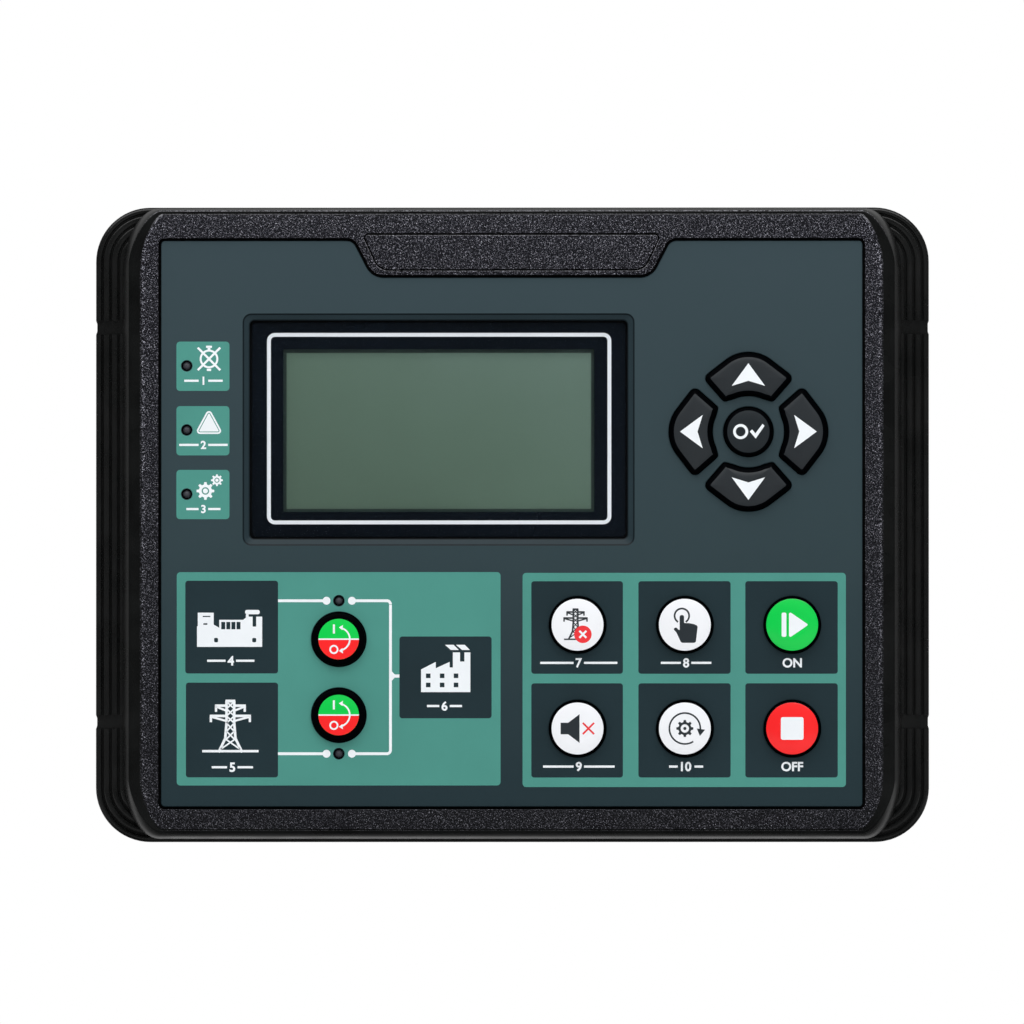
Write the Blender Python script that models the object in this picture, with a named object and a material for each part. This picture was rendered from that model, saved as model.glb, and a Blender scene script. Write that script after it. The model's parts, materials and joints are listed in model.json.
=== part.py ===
"""Panel-mounted genset controller, in metres, with +Z up, +X right and the front facing -Y.

The origin is the centre of the panel cut-out, in the plane of the panel's front. What is ahead of the panel has
negative y: the bezel, the face panel, the display and the keys. What passes through the cut-out has positive y.
Every outline is a list of (x, z) points that runs anticlockwise as the front is seen.
"""
import math

import bmesh
import bpy
from mathutils import Vector

for leftover in list(bpy.data.objects):
    bpy.data.objects.remove(leftover, do_unlink=True)

# Driving dimensions of the bezel
FRONT_WIDTH = 0.2100
FRONT_HEIGHT = 0.1600
FRONT_CORNER = 0.0137
FRAME_PROUD = 0.0160
RIM_THICKNESS = 0.0026
RIB_COUNT = 3
RIB_PITCH = 0.0021
RIB_RISE = 0.0020
RIB_GROOVE = 0.0005
RIB_ROUNDING = 0.0004
FRAME_INSET_TOP = 0.0014
FRAME_CORNER_X = 0.0063
FRAME_CORNER_Z = 0.0109
FRAME_ROUNDING = 0.0010
FRAME_ROUNDING_SIDE = 0.0031
FRAME_CORNER_TAPER = 0.0029
FRAME_BORDER_SIDE = 0.00765
FRAME_BORDER_TOP = 0.0067
OPENING_CORNER = 0.0016
RECESS_DEPTH = 0.0021
WALL_THICKNESS = 0.0024
NOTCH_HEIGHT = 0.0035
NOTCH_SHARE = 0.6213
NICK_DEPTH = 0.0006

# Tab at the top of the frame and the plate let into it
TAB_TOP_WIDTH = 0.0792
TAB_BOTTOM_WIDTH = 0.0696
TAB_REACH = 0.0093
TAB_ROUNDING = 0.0022
INSERT_TOP_WIDTH = 0.0748
INSERT_BOTTOM_WIDTH = 0.0640
INSERT_HEIGHT = 0.0087
INSERT_RISE = 0.0008
INSERT_THICKNESS = 0.0012
INSERT_GAP = 0.00035
INSERT_TOP_ROUNDING = 0.0008
INSERT_BOTTOM_ROUNDING = 0.0020

# Panel cut-out, gasket and rear housing
FLANGE_OVERHANG_SIDE = 0.0115
FLANGE_OVERHANG_TOP = 0.0110
CUTOUT_CLEARANCE = 0.0010
GASKET_THICKNESS = 0.0012
GASKET_WIDTH = 0.0034
GASKET_MARGIN = 0.0023
GASKET_STANDS_OUT = 0.0005
HOUSING_CORNER = 0.0040
HOUSING_WALL = 0.0022
HOUSING_LAP = 0.0035
HOUSING_EDGE = 0.0010
BEZEL_FIT = 0.0004
LEDGE_DEPTH = 0.0220
HUMP_DEPTH = 0.0360
HUMP_INSET_SIDE = 0.0035
HUMP_FROM_EDGE = 0.0290
HUMP_DRAFT = 0.0020
VENT_WIDTH = 0.0020
VENT_LENGTH_SHARE = 0.2308
VENT_PITCH = 0.0060
VENT_COUNT = 9
VENT_ROW_SHARE = 0.3846
CLIP_SLOT_WIDTH = 0.0034
CLIP_SLOT_LENGTH = 0.0140
CLIP_SLOT_SHARE = 0.5147
CLIP_SLOT_DEPTH = 0.0110

# Face panel and display
CLEARANCE = 0.0003
FACE_THICKNESS = 0.0010
FACE_GAP = 0.0007
LENS_WIDTH_SHARE = 0.5312
LENS_HEIGHT_SHARE = 0.3783
LENS_THICKNESS = 0.0019
LENS_SUNK = 0.0007
LENS_CORNER = 0.0012
LENS_LEDGE = 0.0040
DISPLAY_BEVEL_SIDE = 0.0023
DISPLAY_BEVEL_TOP = 0.0019
GLASS_MARGIN_SIDE = 0.00325
GLASS_MARGIN_TOP = 0.0017
GLASS_THICKNESS = 0.0020
GLASS_CORNER = 0.0005
LIGHT_GUIDE_THICKNESS = 0.0016
HOLDER_WALL = 0.0016

# Keys
KEY_GAP = 0.0003
KEY_TRAVEL = 0.0009
KEY_STANDS_OUT = 0.0022
KEY_SHOULDER = 0.0006
KEY_LIP = 0.0008
KEY_LIP_THICKNESS = 0.0009
ROUND_KEY_RADIUS = 0.00696
SWITCH_KEY_RADIUS = 0.0066
STEM_RADIUS = 0.0028
MAT_THICKNESS = 0.0009
COLLAR_HEIGHT = 0.0009
COLLAR_WALL = 0.0012
MAT_MARGIN = 0.0020
MAT_CLEAR = 0.0010
ARROW_SHOULDER_ROUNDING = 0.0016
ARROW_TOP_ROUNDING = 0.0050
ARROW_FOOT_ROUNDING = 0.0010
ARROW_ARC_SHARE = 0.62

# Places from the centre of the front and sizes of groups, as shares of the opening's width or height
DISPLAY_SHARE_X = -0.1034
DISPLAY_SHARE_Z = 0.1648
ROUND_KEY_LAST_SHARE = 0.3969
ROUND_KEY_TOP_SHARE = -0.1773
KEY_COLUMN_SHARE = 0.1518
KEY_ROW_SHARE = 0.1815
ARROWS_SHARE_X = 0.3350
ARROWS_SHARE_Z = 0.1606
ARROW_REACH_SHARE = 0.1130
SWITCH_SHARE_X = -0.2445
SWITCH_TOP_SHARE = -0.2024
SWITCH_PITCH_SHARE = 0.1328
STATUS_LAMP_SHARE_X = -0.4598
STATUS_LAMP_SHARE_Z = 0.1641
STATUS_LAMP_PITCH_SHARE = 0.1123
SWITCH_LAMP_GAP = 0.0031

# Sizes of the arrow keys, as shares of their reach from the centre of the four
ARROW_TOP_SHARE = 0.3184
ARROW_WIDTH_SHARE = 1.1542
ARROW_SHOULDER_SHARE = 0.6791
ARROW_FOOT_WIDTH_SHARE = 0.6169
ARROW_FOOT_SHARE = 0.3731
ARROW_INNER_SHARE = 0.4478
ARROW_STEM_SHARE = 0.6766
CENTRE_KEY_SHARE = 0.3020

# Lamps
LAMP_RADIUS = 0.00104
LAMP_FOOT_RADIUS = 0.0016
LAMP_FOOT_HEIGHT = 0.0010
LAMP_SUNK = 0.0002

# Boards, what is on them, and screws
BOARD_THICKNESS = 0.0016
BOARD_MARGIN = 0.0020
BOARD_NOTCH = 0.0078
BOARD_SPACING = 0.0154
BOARD_SCREW_INSET_X = 0.0085
FRONT_SCREW_SHARE = 0.3676
REAR_SCREW_SHARE = 0.3235
BOSS_RADIUS = 0.0028
CASE_BOSS_RADIUS = 0.0034
COLUMN_RADIUS = 0.0048
CASE_SCREW_INSET = 0.0065
CASE_JOINT = 0.0020
COUNTERBORE_DEPTH = 0.0030
SCREW_SHANK_RADIUS = 0.00145
SCREW_HEAD_RADIUS = 0.0027
SCREW_HEAD_HEIGHT = 0.0020
CASE_SCREW_ENGAGEMENT = 0.0095
BOARD_SCREW_ENGAGEMENT = 0.0036
PLUG_LENGTH = 0.0440
PLUG_DEPTH = 0.0070
PLUG_BASE = 0.0030
PLUG_TONGUE = 0.0030
PLUG_TONGUE_REACH = 0.0060
RELAY_SIZE = (0.0150, 0.0150, 0.0190)
RELAY_PITCH = 0.0210
RELAY_CORNER = 0.0008
RELAY_EDGE = 0.0006
CAPACITOR_RADIUS = 0.0063
CAPACITOR_LENGTH = 0.0180
CAPACITOR_EDGE = 0.0005
CAPACITOR_WAIST = 0.0026
CAPACITOR_X = 0.0252
SIGNAL_PITCH = 0.00508
POWER_PITCH = 0.00762
CONTACT_THICKNESS = 0.0010
CONTACT_LENGTH = 0.0060
TERMINAL_END = 0.0010
HEADER_DEPTH = 0.0120
HEADER_WALL = 0.0010
HEADER_STANDS_OUT = 0.0015
HEADER_FLOOR = 0.0020
TERMINAL_FROM_SIDE = 0.0155
TERMINAL_FROM_EDGE = 0.0140
TERMINAL_MIDDLE_GAP = 0.0015
PLUG_STANDS_OUT = 0.0110
PLUG_BULGE = 0.0040
PLUG_LIP = 0.0005
PLUG_CHAMFER = 0.0020
PLUG_SMALL_CHAMFER = 0.0015
PLUG_TONGUE_LAP = 0.0030
WIRE_HOLE = 0.0034
WIRE_HOLE_DEPTH = 0.0060
WIRE_HOLE_FROM_BACK = 0.0050
CLAMP_HOLE_RADIUS = 0.0016
CLAMP_HOLE_DEPTH = 0.0020
CLAMP_HOLE_INSET = 0.0042

# Positions in depth, worked out from the front of the frame backwards
FLANGE_BACK = -GASKET_STANDS_OUT
RIM_FRONT = FLANGE_BACK - RIM_THICKNESS
FRAME_FRONT = -FRAME_PROUD
SEAT = FRAME_FRONT + RECESS_DEPTH
FACE_BACK = SEAT - CLEARANCE
FACE_FRONT = FACE_BACK - FACE_THICKNESS
WALL_BACK = SEAT + WALL_THICKNESS
LIP_FRONT = WALL_BACK + CLEARANCE
LIP_BACK = LIP_FRONT + KEY_LIP_THICKNESS
COLLAR_TOP = LIP_BACK + KEY_TRAVEL + CLEARANCE
MAT_FRONT = COLLAR_TOP + COLLAR_HEIGHT
MAT_BACK = MAT_FRONT + MAT_THICKNESS
BOARD_FRONT = MAT_BACK + CLEARANCE
BOARD_BACK = BOARD_FRONT + BOARD_THICKNESS
STEM_END = BOARD_FRONT - CLEARANCE - KEY_TRAVEL
KEY_CROWN = FACE_FRONT - KEY_STANDS_OUT
LENS_FRONT = FACE_FRONT + LENS_SUNK
LENS_BACK = LENS_FRONT + LENS_THICKNESS
LENS_SEAT = LENS_BACK + CLEARANCE
GLASS_FRONT = WALL_BACK + CLEARANCE
GLASS_BACK = GLASS_FRONT + GLASS_THICKNESS
GUIDE_FRONT = GLASS_BACK + CLEARANCE
GUIDE_BACK = GUIDE_FRONT + LIGHT_GUIDE_THICKNESS
REAR_BOARD_FRONT = BOARD_BACK + BOARD_SPACING
REAR_BOARD_BACK = REAR_BOARD_FRONT + BOARD_THICKNESS
ON_REAR_BOARD = REAR_BOARD_BACK + CLEARANCE
LEDGE_INSIDE = LEDGE_DEPTH - HOUSING_WALL
HUMP_INSIDE = HUMP_DEPTH - HOUSING_WALL
HOUSING_FRONT = FLANGE_BACK - HOUSING_LAP
SCREW_SEAT = LEDGE_DEPTH - COUNTERBORE_DEPTH
THROUGH = 0.0010

# Sizes across the front, worked out from the silhouette inwards
FRAME_INSET_SIDE = (RIB_COUNT + 1) * RIB_PITCH
FRAME_WIDTH = FRONT_WIDTH - 2 * FRAME_INSET_SIDE
FRAME_HEIGHT = FRONT_HEIGHT - 2 * FRAME_INSET_TOP
OPENING_WIDTH = FRAME_WIDTH - 2 * FRAME_BORDER_SIDE
OPENING_HEIGHT = FRAME_HEIGHT - 2 * FRAME_BORDER_TOP
CUTOUT_WIDTH = FRONT_WIDTH - 2 * FLANGE_OVERHANG_SIDE
CUTOUT_HEIGHT = FRONT_HEIGHT - 2 * FLANGE_OVERHANG_TOP
HOUSING_WIDTH = CUTOUT_WIDTH - 2 * CUTOUT_CLEARANCE
HOUSING_HEIGHT = CUTOUT_HEIGHT - 2 * CUTOUT_CLEARANCE
CAVITY_WIDTH = HOUSING_WIDTH + 2 * BEZEL_FIT
CAVITY_HEIGHT = HOUSING_HEIGHT + 2 * BEZEL_FIT
BOARD_WIDTH = HOUSING_WIDTH - 2 * (HOUSING_WALL + BOARD_MARGIN)
BOARD_HEIGHT = HOUSING_HEIGHT - 2 * (HOUSING_WALL + BOARD_MARGIN)
CASE_SCREW_X = HOUSING_WIDTH / 2 - CASE_SCREW_INSET
CASE_SCREW_Z = HOUSING_HEIGHT / 2 - CASE_SCREW_INSET
BOARD_SCREW_X = HOUSING_WIDTH / 2 - BOARD_SCREW_INSET_X
SCREW_HOLE_RADIUS = SCREW_SHANK_RADIUS + CLEARANCE

# Layout of the front, worked out from the opening
NOTCH_SPACING = NOTCH_SHARE * FRONT_HEIGHT
LENS_WIDTH = LENS_WIDTH_SHARE * OPENING_WIDTH
LENS_HEIGHT = LENS_HEIGHT_SHARE * OPENING_HEIGHT
GLASS_WIDTH = LENS_WIDTH - 2 * GLASS_MARGIN_SIDE
GLASS_HEIGHT = LENS_HEIGHT - 2 * GLASS_MARGIN_TOP
DISPLAY_X = DISPLAY_SHARE_X * OPENING_WIDTH
DISPLAY_Z = DISPLAY_SHARE_Z * OPENING_HEIGHT
ROUND_KEY_LAST_X = ROUND_KEY_LAST_SHARE * OPENING_WIDTH
ROUND_KEY_TOP_Z = ROUND_KEY_TOP_SHARE * OPENING_HEIGHT
KEY_COLUMN_PITCH = KEY_COLUMN_SHARE * OPENING_WIDTH
KEY_ROW_PITCH = KEY_ROW_SHARE * OPENING_HEIGHT
ARROWS_X = ARROWS_SHARE_X * OPENING_WIDTH
ARROWS_Z = ARROWS_SHARE_Z * OPENING_HEIGHT
SWITCH_X = SWITCH_SHARE_X * OPENING_WIDTH
SWITCH_TOP_Z = SWITCH_TOP_SHARE * OPENING_HEIGHT
SWITCH_PITCH = SWITCH_PITCH_SHARE * OPENING_HEIGHT
SWITCH_LAMP_OFFSET = SWITCH_KEY_RADIUS + SWITCH_LAMP_GAP
STATUS_LAMP_X = STATUS_LAMP_SHARE_X * OPENING_WIDTH
STATUS_LAMP_Z = STATUS_LAMP_SHARE_Z * OPENING_HEIGHT
STATUS_LAMP_PITCH = STATUS_LAMP_PITCH_SHARE * OPENING_HEIGHT
ARROW_REACH = ARROW_REACH_SHARE * OPENING_WIDTH
ARROW_TOP_WIDTH = ARROW_TOP_SHARE * ARROW_REACH
ARROW_WIDTH = ARROW_WIDTH_SHARE * ARROW_REACH
ARROW_SHOULDER = ARROW_SHOULDER_SHARE * ARROW_REACH
ARROW_FOOT_WIDTH = ARROW_FOOT_WIDTH_SHARE * ARROW_REACH
ARROW_FOOT = ARROW_FOOT_SHARE * ARROW_REACH
ARROW_INNER_RADIUS = ARROW_INNER_SHARE * ARROW_REACH
ARROW_STEM = ARROW_STEM_SHARE * ARROW_REACH
CENTRE_KEY_RADIUS = CENTRE_KEY_SHARE * ARROW_REACH

# Layout of the boards and the rear, worked out from the housing
FRONT_SCREW_TOP_Z = FRONT_SCREW_SHARE * HOUSING_HEIGHT
FRONT_SCREW_LOW_Z = ROUND_KEY_TOP_Z - KEY_ROW_PITCH / 2
REAR_SCREW_Z = REAR_SCREW_SHARE * HOUSING_HEIGHT
HUMP_HEIGHT = HOUSING_HEIGHT - 2 * HUMP_FROM_EDGE
VENT_LENGTH = VENT_LENGTH_SHARE * HUMP_HEIGHT
VENT_ROW_SPACING = VENT_ROW_SHARE * HUMP_HEIGHT
CLIP_SLOT_SPACING = CLIP_SLOT_SHARE * HOUSING_HEIGHT
TERMINAL_ROOM = HOUSING_WIDTH / 2 - TERMINAL_FROM_SIDE
TERMINAL_X = TERMINAL_ROOM / 2 + TERMINAL_MIDDLE_GAP
TERMINAL_Z = HOUSING_HEIGHT / 2 - TERMINAL_FROM_EDGE
SIGNAL_POLES = int((TERMINAL_ROOM - 2 * TERMINAL_END) / SIGNAL_PITCH)
POWER_POLES = int((TERMINAL_ROOM - 2 * TERMINAL_END) / POWER_PITCH)

# Steps on curves
CORNER_SEGMENTS = 5
HOLE_SEGMENTS = 14
SMALL_SEGMENTS = 10
TINY_SEGMENTS = 8
HIDDEN_SEGMENTS = 6

QUADRANTS = ((1, 1), (-1, 1), (-1, -1), (1, -1))


# Outlines and solids

def circle(radius, segments=HOLE_SEGMENTS):
    """Points of a circle."""
    return [(radius * math.cos(2 * math.pi * step / segments), radius * math.sin(2 * math.pi * step / segments))
            for step in range(segments)]


def rounded_rectangle(width, height, radius_x, radius_z=None, segments=CORNER_SEGMENTS):
    """A rectangle whose corners are quarters of an ellipse."""
    radius_z = radius_x if radius_z is None else radius_z
    points = []
    for index, (side, level) in enumerate(QUADRANTS):
        centre_x = side * (width / 2 - radius_x)
        centre_z = level * (height / 2 - radius_z)
        for step in range(segments + 1):
            angle = math.pi / 2 * (index + step / segments)
            points.append((centre_x + radius_x * math.cos(angle), centre_z + radius_z * math.sin(angle)))
    return points


def rounded_polygon(corners, segments=3):
    """A polygon from (x, z, radius) corners, each turned by an arc of its radius, or left sharp at radius 0."""
    points = []
    for index, (x, z, radius) in enumerate(corners):
        if radius == 0:
            points.append((x, z))
            continue
        corner = Vector((x, z))
        before = (Vector(corners[index - 1][:2]) - corner).normalized()
        after = (Vector(corners[(index + 1) % len(corners)][:2]) - corner).normalized()
        half_angle = before.angle(after) / 2
        centre = corner + (before + after).normalized() * radius / math.sin(half_angle)
        start = corner + before * radius / math.tan(half_angle) - centre
        end = corner + after * radius / math.tan(half_angle) - centre
        sweep = start.angle_signed(end)
        for step in range(segments + 1):
            turned_by = -sweep * step / segments
            points.append((centre.x + start.x * math.cos(turned_by) - start.y * math.sin(turned_by),
                           centre.y + start.x * math.sin(turned_by) + start.y * math.cos(turned_by)))
    return points


def inset(outline, distance):
    """The outline moved inwards by a distance, or outwards by a negative one, with the same number of points."""
    moved = []
    for index, point in enumerate(outline):
        here = Vector(point)
        along_before = (here - Vector(outline[index - 1])).normalized()
        along_after = (Vector(outline[(index + 1) % len(outline)]) - here).normalized()
        normal_before = Vector((-along_before.y, along_before.x))
        normal_after = Vector((-along_after.y, along_after.x))
        mitre = (normal_before + normal_after) / (1 + normal_before.dot(normal_after))
        moved.append(tuple(here + mitre * distance))
    return moved


def shifted(outline, x, z):
    """The outline moved sideways and up."""
    return [(point_x + x, point_z + z) for point_x, point_z in outline]


def turned_about(outline, quarter_turns):
    """The outline turned anticlockwise about the origin by quarter turns."""
    cosine = round(math.cos(math.pi / 2 * quarter_turns))
    sine = round(math.sin(math.pi / 2 * quarter_turns))
    return [(x * cosine - z * sine, x * sine + z * cosine) for x, z in outline]


def loft(sections):
    """A closed body through (outline, y) sections whose outlines have equally many points."""
    points = [(x, y, z) for outline, y in sections for x, z in outline]
    count = len(sections[0][0])
    faces = []
    for level in range(len(sections) - 1):
        near = level * count
        far = near + count
        for index in range(count):
            after = (index + 1) % count
            faces.append((near + index, near + after, far + after, far + index))
    faces.append(tuple(range(count)))
    faces.append(tuple(range(len(points) - count, len(points))))
    return points, faces


def prism(outline, front, back):
    """A straight body of one outline."""
    return loft([(outline, front), (outline, back)])


def block(x, z, width, height, front, back):
    """A plain rectangular body about the point (x, z)."""
    corners = [(x + side * width / 2, z + level * height / 2) for side, level in QUADRANTS]
    return prism(corners, front, back)


def tube(outer, inner, front, back):
    """A ring between two outlines that have equally many points."""
    count = len(outer)
    points = [(x, y, z) for outline, y in ((outer, front), (outer, back), (inner, back), (inner, front))
              for x, z in outline]
    faces = []
    for level in range(4):
        near = level * count
        far = (level + 1) % 4 * count
        for index in range(count):
            after = (index + 1) % count
            faces.append((near + index, near + after, far + after, far + index))
    return points, faces


def turned(profile, segments=HOLE_SEGMENTS, x=0.0, z=0.0):
    """A body turned about a line along Y from (radius, y) pairs; a first or last radius of 0 closes to a point."""
    points = []
    rings = []
    for radius, y in profile:
        ring = [(0.0, 0.0)] if radius == 0 else circle(radius, segments)
        rings.append(list(range(len(points), len(points) + len(ring))))
        points.extend((x + point_x, y, z + point_z) for point_x, point_z in ring)
    faces = []
    for near, far in zip(rings, rings[1:]):
        for index in range(segments):
            after = (index + 1) % segments
            if len(near) == 1:
                faces.append((near[0], far[after], far[index]))
            elif len(far) == 1:
                faces.append((near[index], near[after], far[0]))
            else:
                faces.append((near[index], near[after], far[after], far[index]))
    for ring in (rings[0], rings[-1]):
        if len(ring) > 1:
            faces.append(tuple(ring))
    return points, faces


def along_x(profile, start, end):
    """A straight body along X whose section is a list of (y, z) points."""
    points = [(x, y, z) for x in (start, end) for y, z in profile]
    count = len(profile)
    faces = [(index, (index + 1) % count, (index + 1) % count + count, index + count) for index in range(count)]
    faces.append(tuple(range(count)))
    faces.append(tuple(range(count, 2 * count)))
    return points, faces


def make_mesh(name, bodies):
    """One mesh from separate closed bodies, with every face turned outwards."""
    points = []
    faces = []
    for body_points, body_faces in bodies:
        faces.extend(tuple(index + len(points) for index in face) for face in body_faces)
        points.extend(body_points)
    mesh = bpy.data.meshes.new(name)
    mesh.from_pydata(points, [], faces)
    editor = bmesh.new()
    editor.from_mesh(mesh)
    bmesh.ops.recalc_face_normals(editor, faces=editor.faces)
    editor.to_mesh(mesh)
    editor.free()
    return mesh


def make_material(name, colour, roughness, metallic=0.0):
    """A Principled material."""
    material = bpy.data.materials.new(name)
    material.use_nodes = True
    shader = material.node_tree.nodes["Principled BSDF"]
    shader.inputs["Base Color"].default_value = (*colour, 1.0)
    shader.inputs["Roughness"].default_value = roughness
    shader.inputs["Metallic"].default_value = metallic
    material.diffuse_color = (*colour, 1.0)
    return material


def make_piece(name, bodies, material, x=0.0, z=0.0):
    """A visible sub-part with its origin at (x, 0, z)."""
    mesh = make_mesh(name, bodies)
    mesh.materials.append(material)
    mesh.shade_smooth()
    mesh.set_sharp_from_angle(angle=math.radians(32))
    piece = bpy.data.objects.new(name, mesh)
    piece.location = (x, 0.0, z)
    bpy.context.scene.collection.objects.link(piece)
    return piece


def shape_with(piece, operation, name, bodies):
    """Cut bodies out of a piece, or join them to it, with a Boolean and a hidden tool."""
    tool = bpy.data.objects.new(name, make_mesh(name, bodies))
    tool.location = piece.location
    tool.hide_render = True
    tool.display_type = "WIRE"
    bpy.context.scene.collection.objects.link(tool)
    modifier = piece.modifiers.new(name, "BOOLEAN")
    modifier.operation = operation
    modifier.solver = "EXACT"
    modifier.object = tool


def cut(piece, name, bodies):
    """Cut bodies out of a piece."""
    shape_with(piece, "DIFFERENCE", name, bodies)


def join(piece, name, bodies):
    """Join bodies to a piece."""
    shape_with(piece, "UNION", name, bodies)


# Outlines that several pieces share

def silhouette(distance=0.0):
    """The flange's outline, moved inwards by a distance."""
    return rounded_rectangle(FRONT_WIDTH - 2 * distance, FRONT_HEIGHT - 2 * distance, FRONT_CORNER - distance)


def frame_outline(share=0.0, taper=0.0):
    """The raised frame's outline, moved inwards by a share of its rounding, which is wider at the sides than at
    the top, with its corner quarters grown by the taper."""
    side = share * FRAME_ROUNDING_SIDE
    top = share * FRAME_ROUNDING
    return rounded_rectangle(FRAME_WIDTH - 2 * side, FRAME_HEIGHT - 2 * top,
                             FRAME_CORNER_X + taper - (side - top), FRAME_CORNER_Z + taper)


def opening_outline():
    """The opening of the frame, with the tab that comes down from its top edge."""
    side = OPENING_WIDTH / 2
    top = OPENING_HEIGHT / 2
    tab_end = top - TAB_REACH
    return rounded_polygon([
        (side, top, OPENING_CORNER),
        (TAB_TOP_WIDTH / 2, top, TAB_ROUNDING),
        (TAB_BOTTOM_WIDTH / 2, tab_end, TAB_ROUNDING),
        (-TAB_BOTTOM_WIDTH / 2, tab_end, TAB_ROUNDING),
        (-TAB_TOP_WIDTH / 2, top, TAB_ROUNDING),
        (-side, top, OPENING_CORNER),
        (-side, -top, OPENING_CORNER),
        (side, -top, OPENING_CORNER),
    ])


def insert_outline():
    """The plate in the tab, a trapezoid that is wider at its top."""
    top = OPENING_HEIGHT / 2 + INSERT_RISE
    bottom = top - INSERT_HEIGHT
    return rounded_polygon([
        (INSERT_TOP_WIDTH / 2, top, INSERT_TOP_ROUNDING),
        (-INSERT_TOP_WIDTH / 2, top, INSERT_TOP_ROUNDING),
        (-INSERT_BOTTOM_WIDTH / 2, bottom, INSERT_BOTTOM_ROUNDING),
        (INSERT_BOTTOM_WIDTH / 2, bottom, INSERT_BOTTOM_ROUNDING),
    ])


def display_outline(width, height, radius=LENS_CORNER):
    """A rounded rectangle about the centre of the display."""
    return shifted(rounded_rectangle(width, height, radius, segments=3), DISPLAY_X, DISPLAY_Z)


def arrow_outline():
    """The hole of the upper arrow key about the centre of the four: a crowned top, slanted shoulders,
    flanks that run in towards the centre and a hollow foot."""
    foot_angle = math.atan2(ARROW_FOOT, ARROW_FOOT_WIDTH / 2)
    arc_steps = 3
    arc_start = math.pi / 2 + (math.pi / 2 - foot_angle) * ARROW_ARC_SHARE
    arc_end = math.pi - arc_start
    corners = [
        (ARROW_WIDTH / 2, ARROW_SHOULDER, ARROW_SHOULDER_ROUNDING),
        (ARROW_TOP_WIDTH / 2, ARROW_REACH, ARROW_TOP_ROUNDING),
        (-ARROW_TOP_WIDTH / 2, ARROW_REACH, ARROW_TOP_ROUNDING),
        (-ARROW_WIDTH / 2, ARROW_SHOULDER, ARROW_SHOULDER_ROUNDING),
        (-ARROW_FOOT_WIDTH / 2, ARROW_FOOT, ARROW_FOOT_ROUNDING),
    ]
    for step in range(arc_steps + 1):
        angle = arc_start + (arc_end - arc_start) * step / arc_steps
        corners.append((ARROW_INNER_RADIUS * math.cos(angle), ARROW_INNER_RADIUS * math.sin(angle), 0))
    corners.append((ARROW_FOOT_WIDTH / 2, ARROW_FOOT, ARROW_FOOT_ROUNDING))
    return rounded_polygon(corners, segments=2)


def board_outline():
    """A circuit board with its corners notched round the case screws."""
    side = BOARD_WIDTH / 2
    top = BOARD_HEIGHT / 2
    points = []
    for index, (right, up) in enumerate(QUADRANTS):
        outer = (right * side, up * (top - BOARD_NOTCH))
        middle = (right * (side - BOARD_NOTCH), up * (top - BOARD_NOTCH))
        inner = (right * (side - BOARD_NOTCH), up * top)
        points.extend((outer, middle, inner) if index % 2 == 0 else (inner, middle, outer))
    return points


def housing_outline(distance=0.0):
    """The rear housing's outline, moved inwards by a distance."""
    return rounded_rectangle(HOUSING_WIDTH - 2 * distance, HOUSING_HEIGHT - 2 * distance,
                             HOUSING_CORNER - distance, segments=4)


def hump_outline(distance):
    """The outline of the raised middle of the rear housing, moved inwards by a distance."""
    return rounded_rectangle(HOUSING_WIDTH - 2 * (HUMP_INSET_SIDE + distance), HUMP_HEIGHT - 2 * distance,
                             HOUSING_CORNER, segments=4)


# Places of the keys, lamps, screws and terminals

ROUND_KEYS = [
    (name, ROUND_KEY_LAST_X - (2 - column) * KEY_COLUMN_PITCH, ROUND_KEY_TOP_Z - row * KEY_ROW_PITCH)
    for row, names in enumerate((("test_key", "manual_key", "start_key"), ("mute_key", "auto_key", "stop_key")))
    for column, name in enumerate(names)
]
SWITCH_KEYS = [
    ("generator_switch_key", SWITCH_X, SWITCH_TOP_Z),
    ("mains_switch_key", SWITCH_X, SWITCH_TOP_Z - SWITCH_PITCH),
]
ARROW_KEYS = [("up_key", 0), ("left_key", 1), ("down_key", 2), ("right_key", 3)]
LAMPS = [
    ("status_lamp_%d" % (number + 1), STATUS_LAMP_X, STATUS_LAMP_Z + (1 - number) * STATUS_LAMP_PITCH)
    for number in range(3)
] + [
    ("generator_lamp", SWITCH_X, SWITCH_TOP_Z + SWITCH_LAMP_OFFSET),
    ("mains_lamp", SWITCH_X, SWITCH_TOP_Z - SWITCH_PITCH - SWITCH_LAMP_OFFSET),
]
TERMINALS = [
    ("1", SIGNAL_POLES, SIGNAL_PITCH, -TERMINAL_X, 1),
    ("2", SIGNAL_POLES - 1, SIGNAL_PITCH, TERMINAL_X, 1),
    ("3", POWER_POLES - 1, POWER_PITCH, -TERMINAL_X, -1),
    ("4", POWER_POLES, POWER_PITCH, TERMINAL_X, -1),
]


def key_stems():
    """The centres of all key stems."""
    stems = [(x, z) for _, x, z in ROUND_KEYS + SWITCH_KEYS]
    stems.append((ARROWS_X, ARROWS_Z))
    for _, quarter_turns in ARROW_KEYS:
        stems.extend(shifted(turned_about([(0.0, ARROW_STEM)], quarter_turns), ARROWS_X, ARROWS_Z))
    return stems


def key_holes(extra=0.0):
    """The outlines of all key holes, grown by an extra distance."""
    holes = [shifted(circle(ROUND_KEY_RADIUS + KEY_GAP + extra), x, z) for _, x, z in ROUND_KEYS]
    holes += [shifted(circle(SWITCH_KEY_RADIUS + KEY_GAP + extra), x, z) for _, x, z in SWITCH_KEYS]
    holes.append(shifted(circle(CENTRE_KEY_RADIUS + KEY_GAP + extra), ARROWS_X, ARROWS_Z))
    for _, quarter_turns in ARROW_KEYS:
        holes.append(shifted(turned_about(inset(arrow_outline(), -extra), quarter_turns), ARROWS_X, ARROWS_Z))
    return holes


def front_screws():
    """The centres of the front board's screws, the lower two level with the gap between the rows of keys."""
    return [(side * BOARD_SCREW_X, z) for z in (FRONT_SCREW_TOP_Z, FRONT_SCREW_LOW_Z) for side in (1, -1)]


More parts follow.
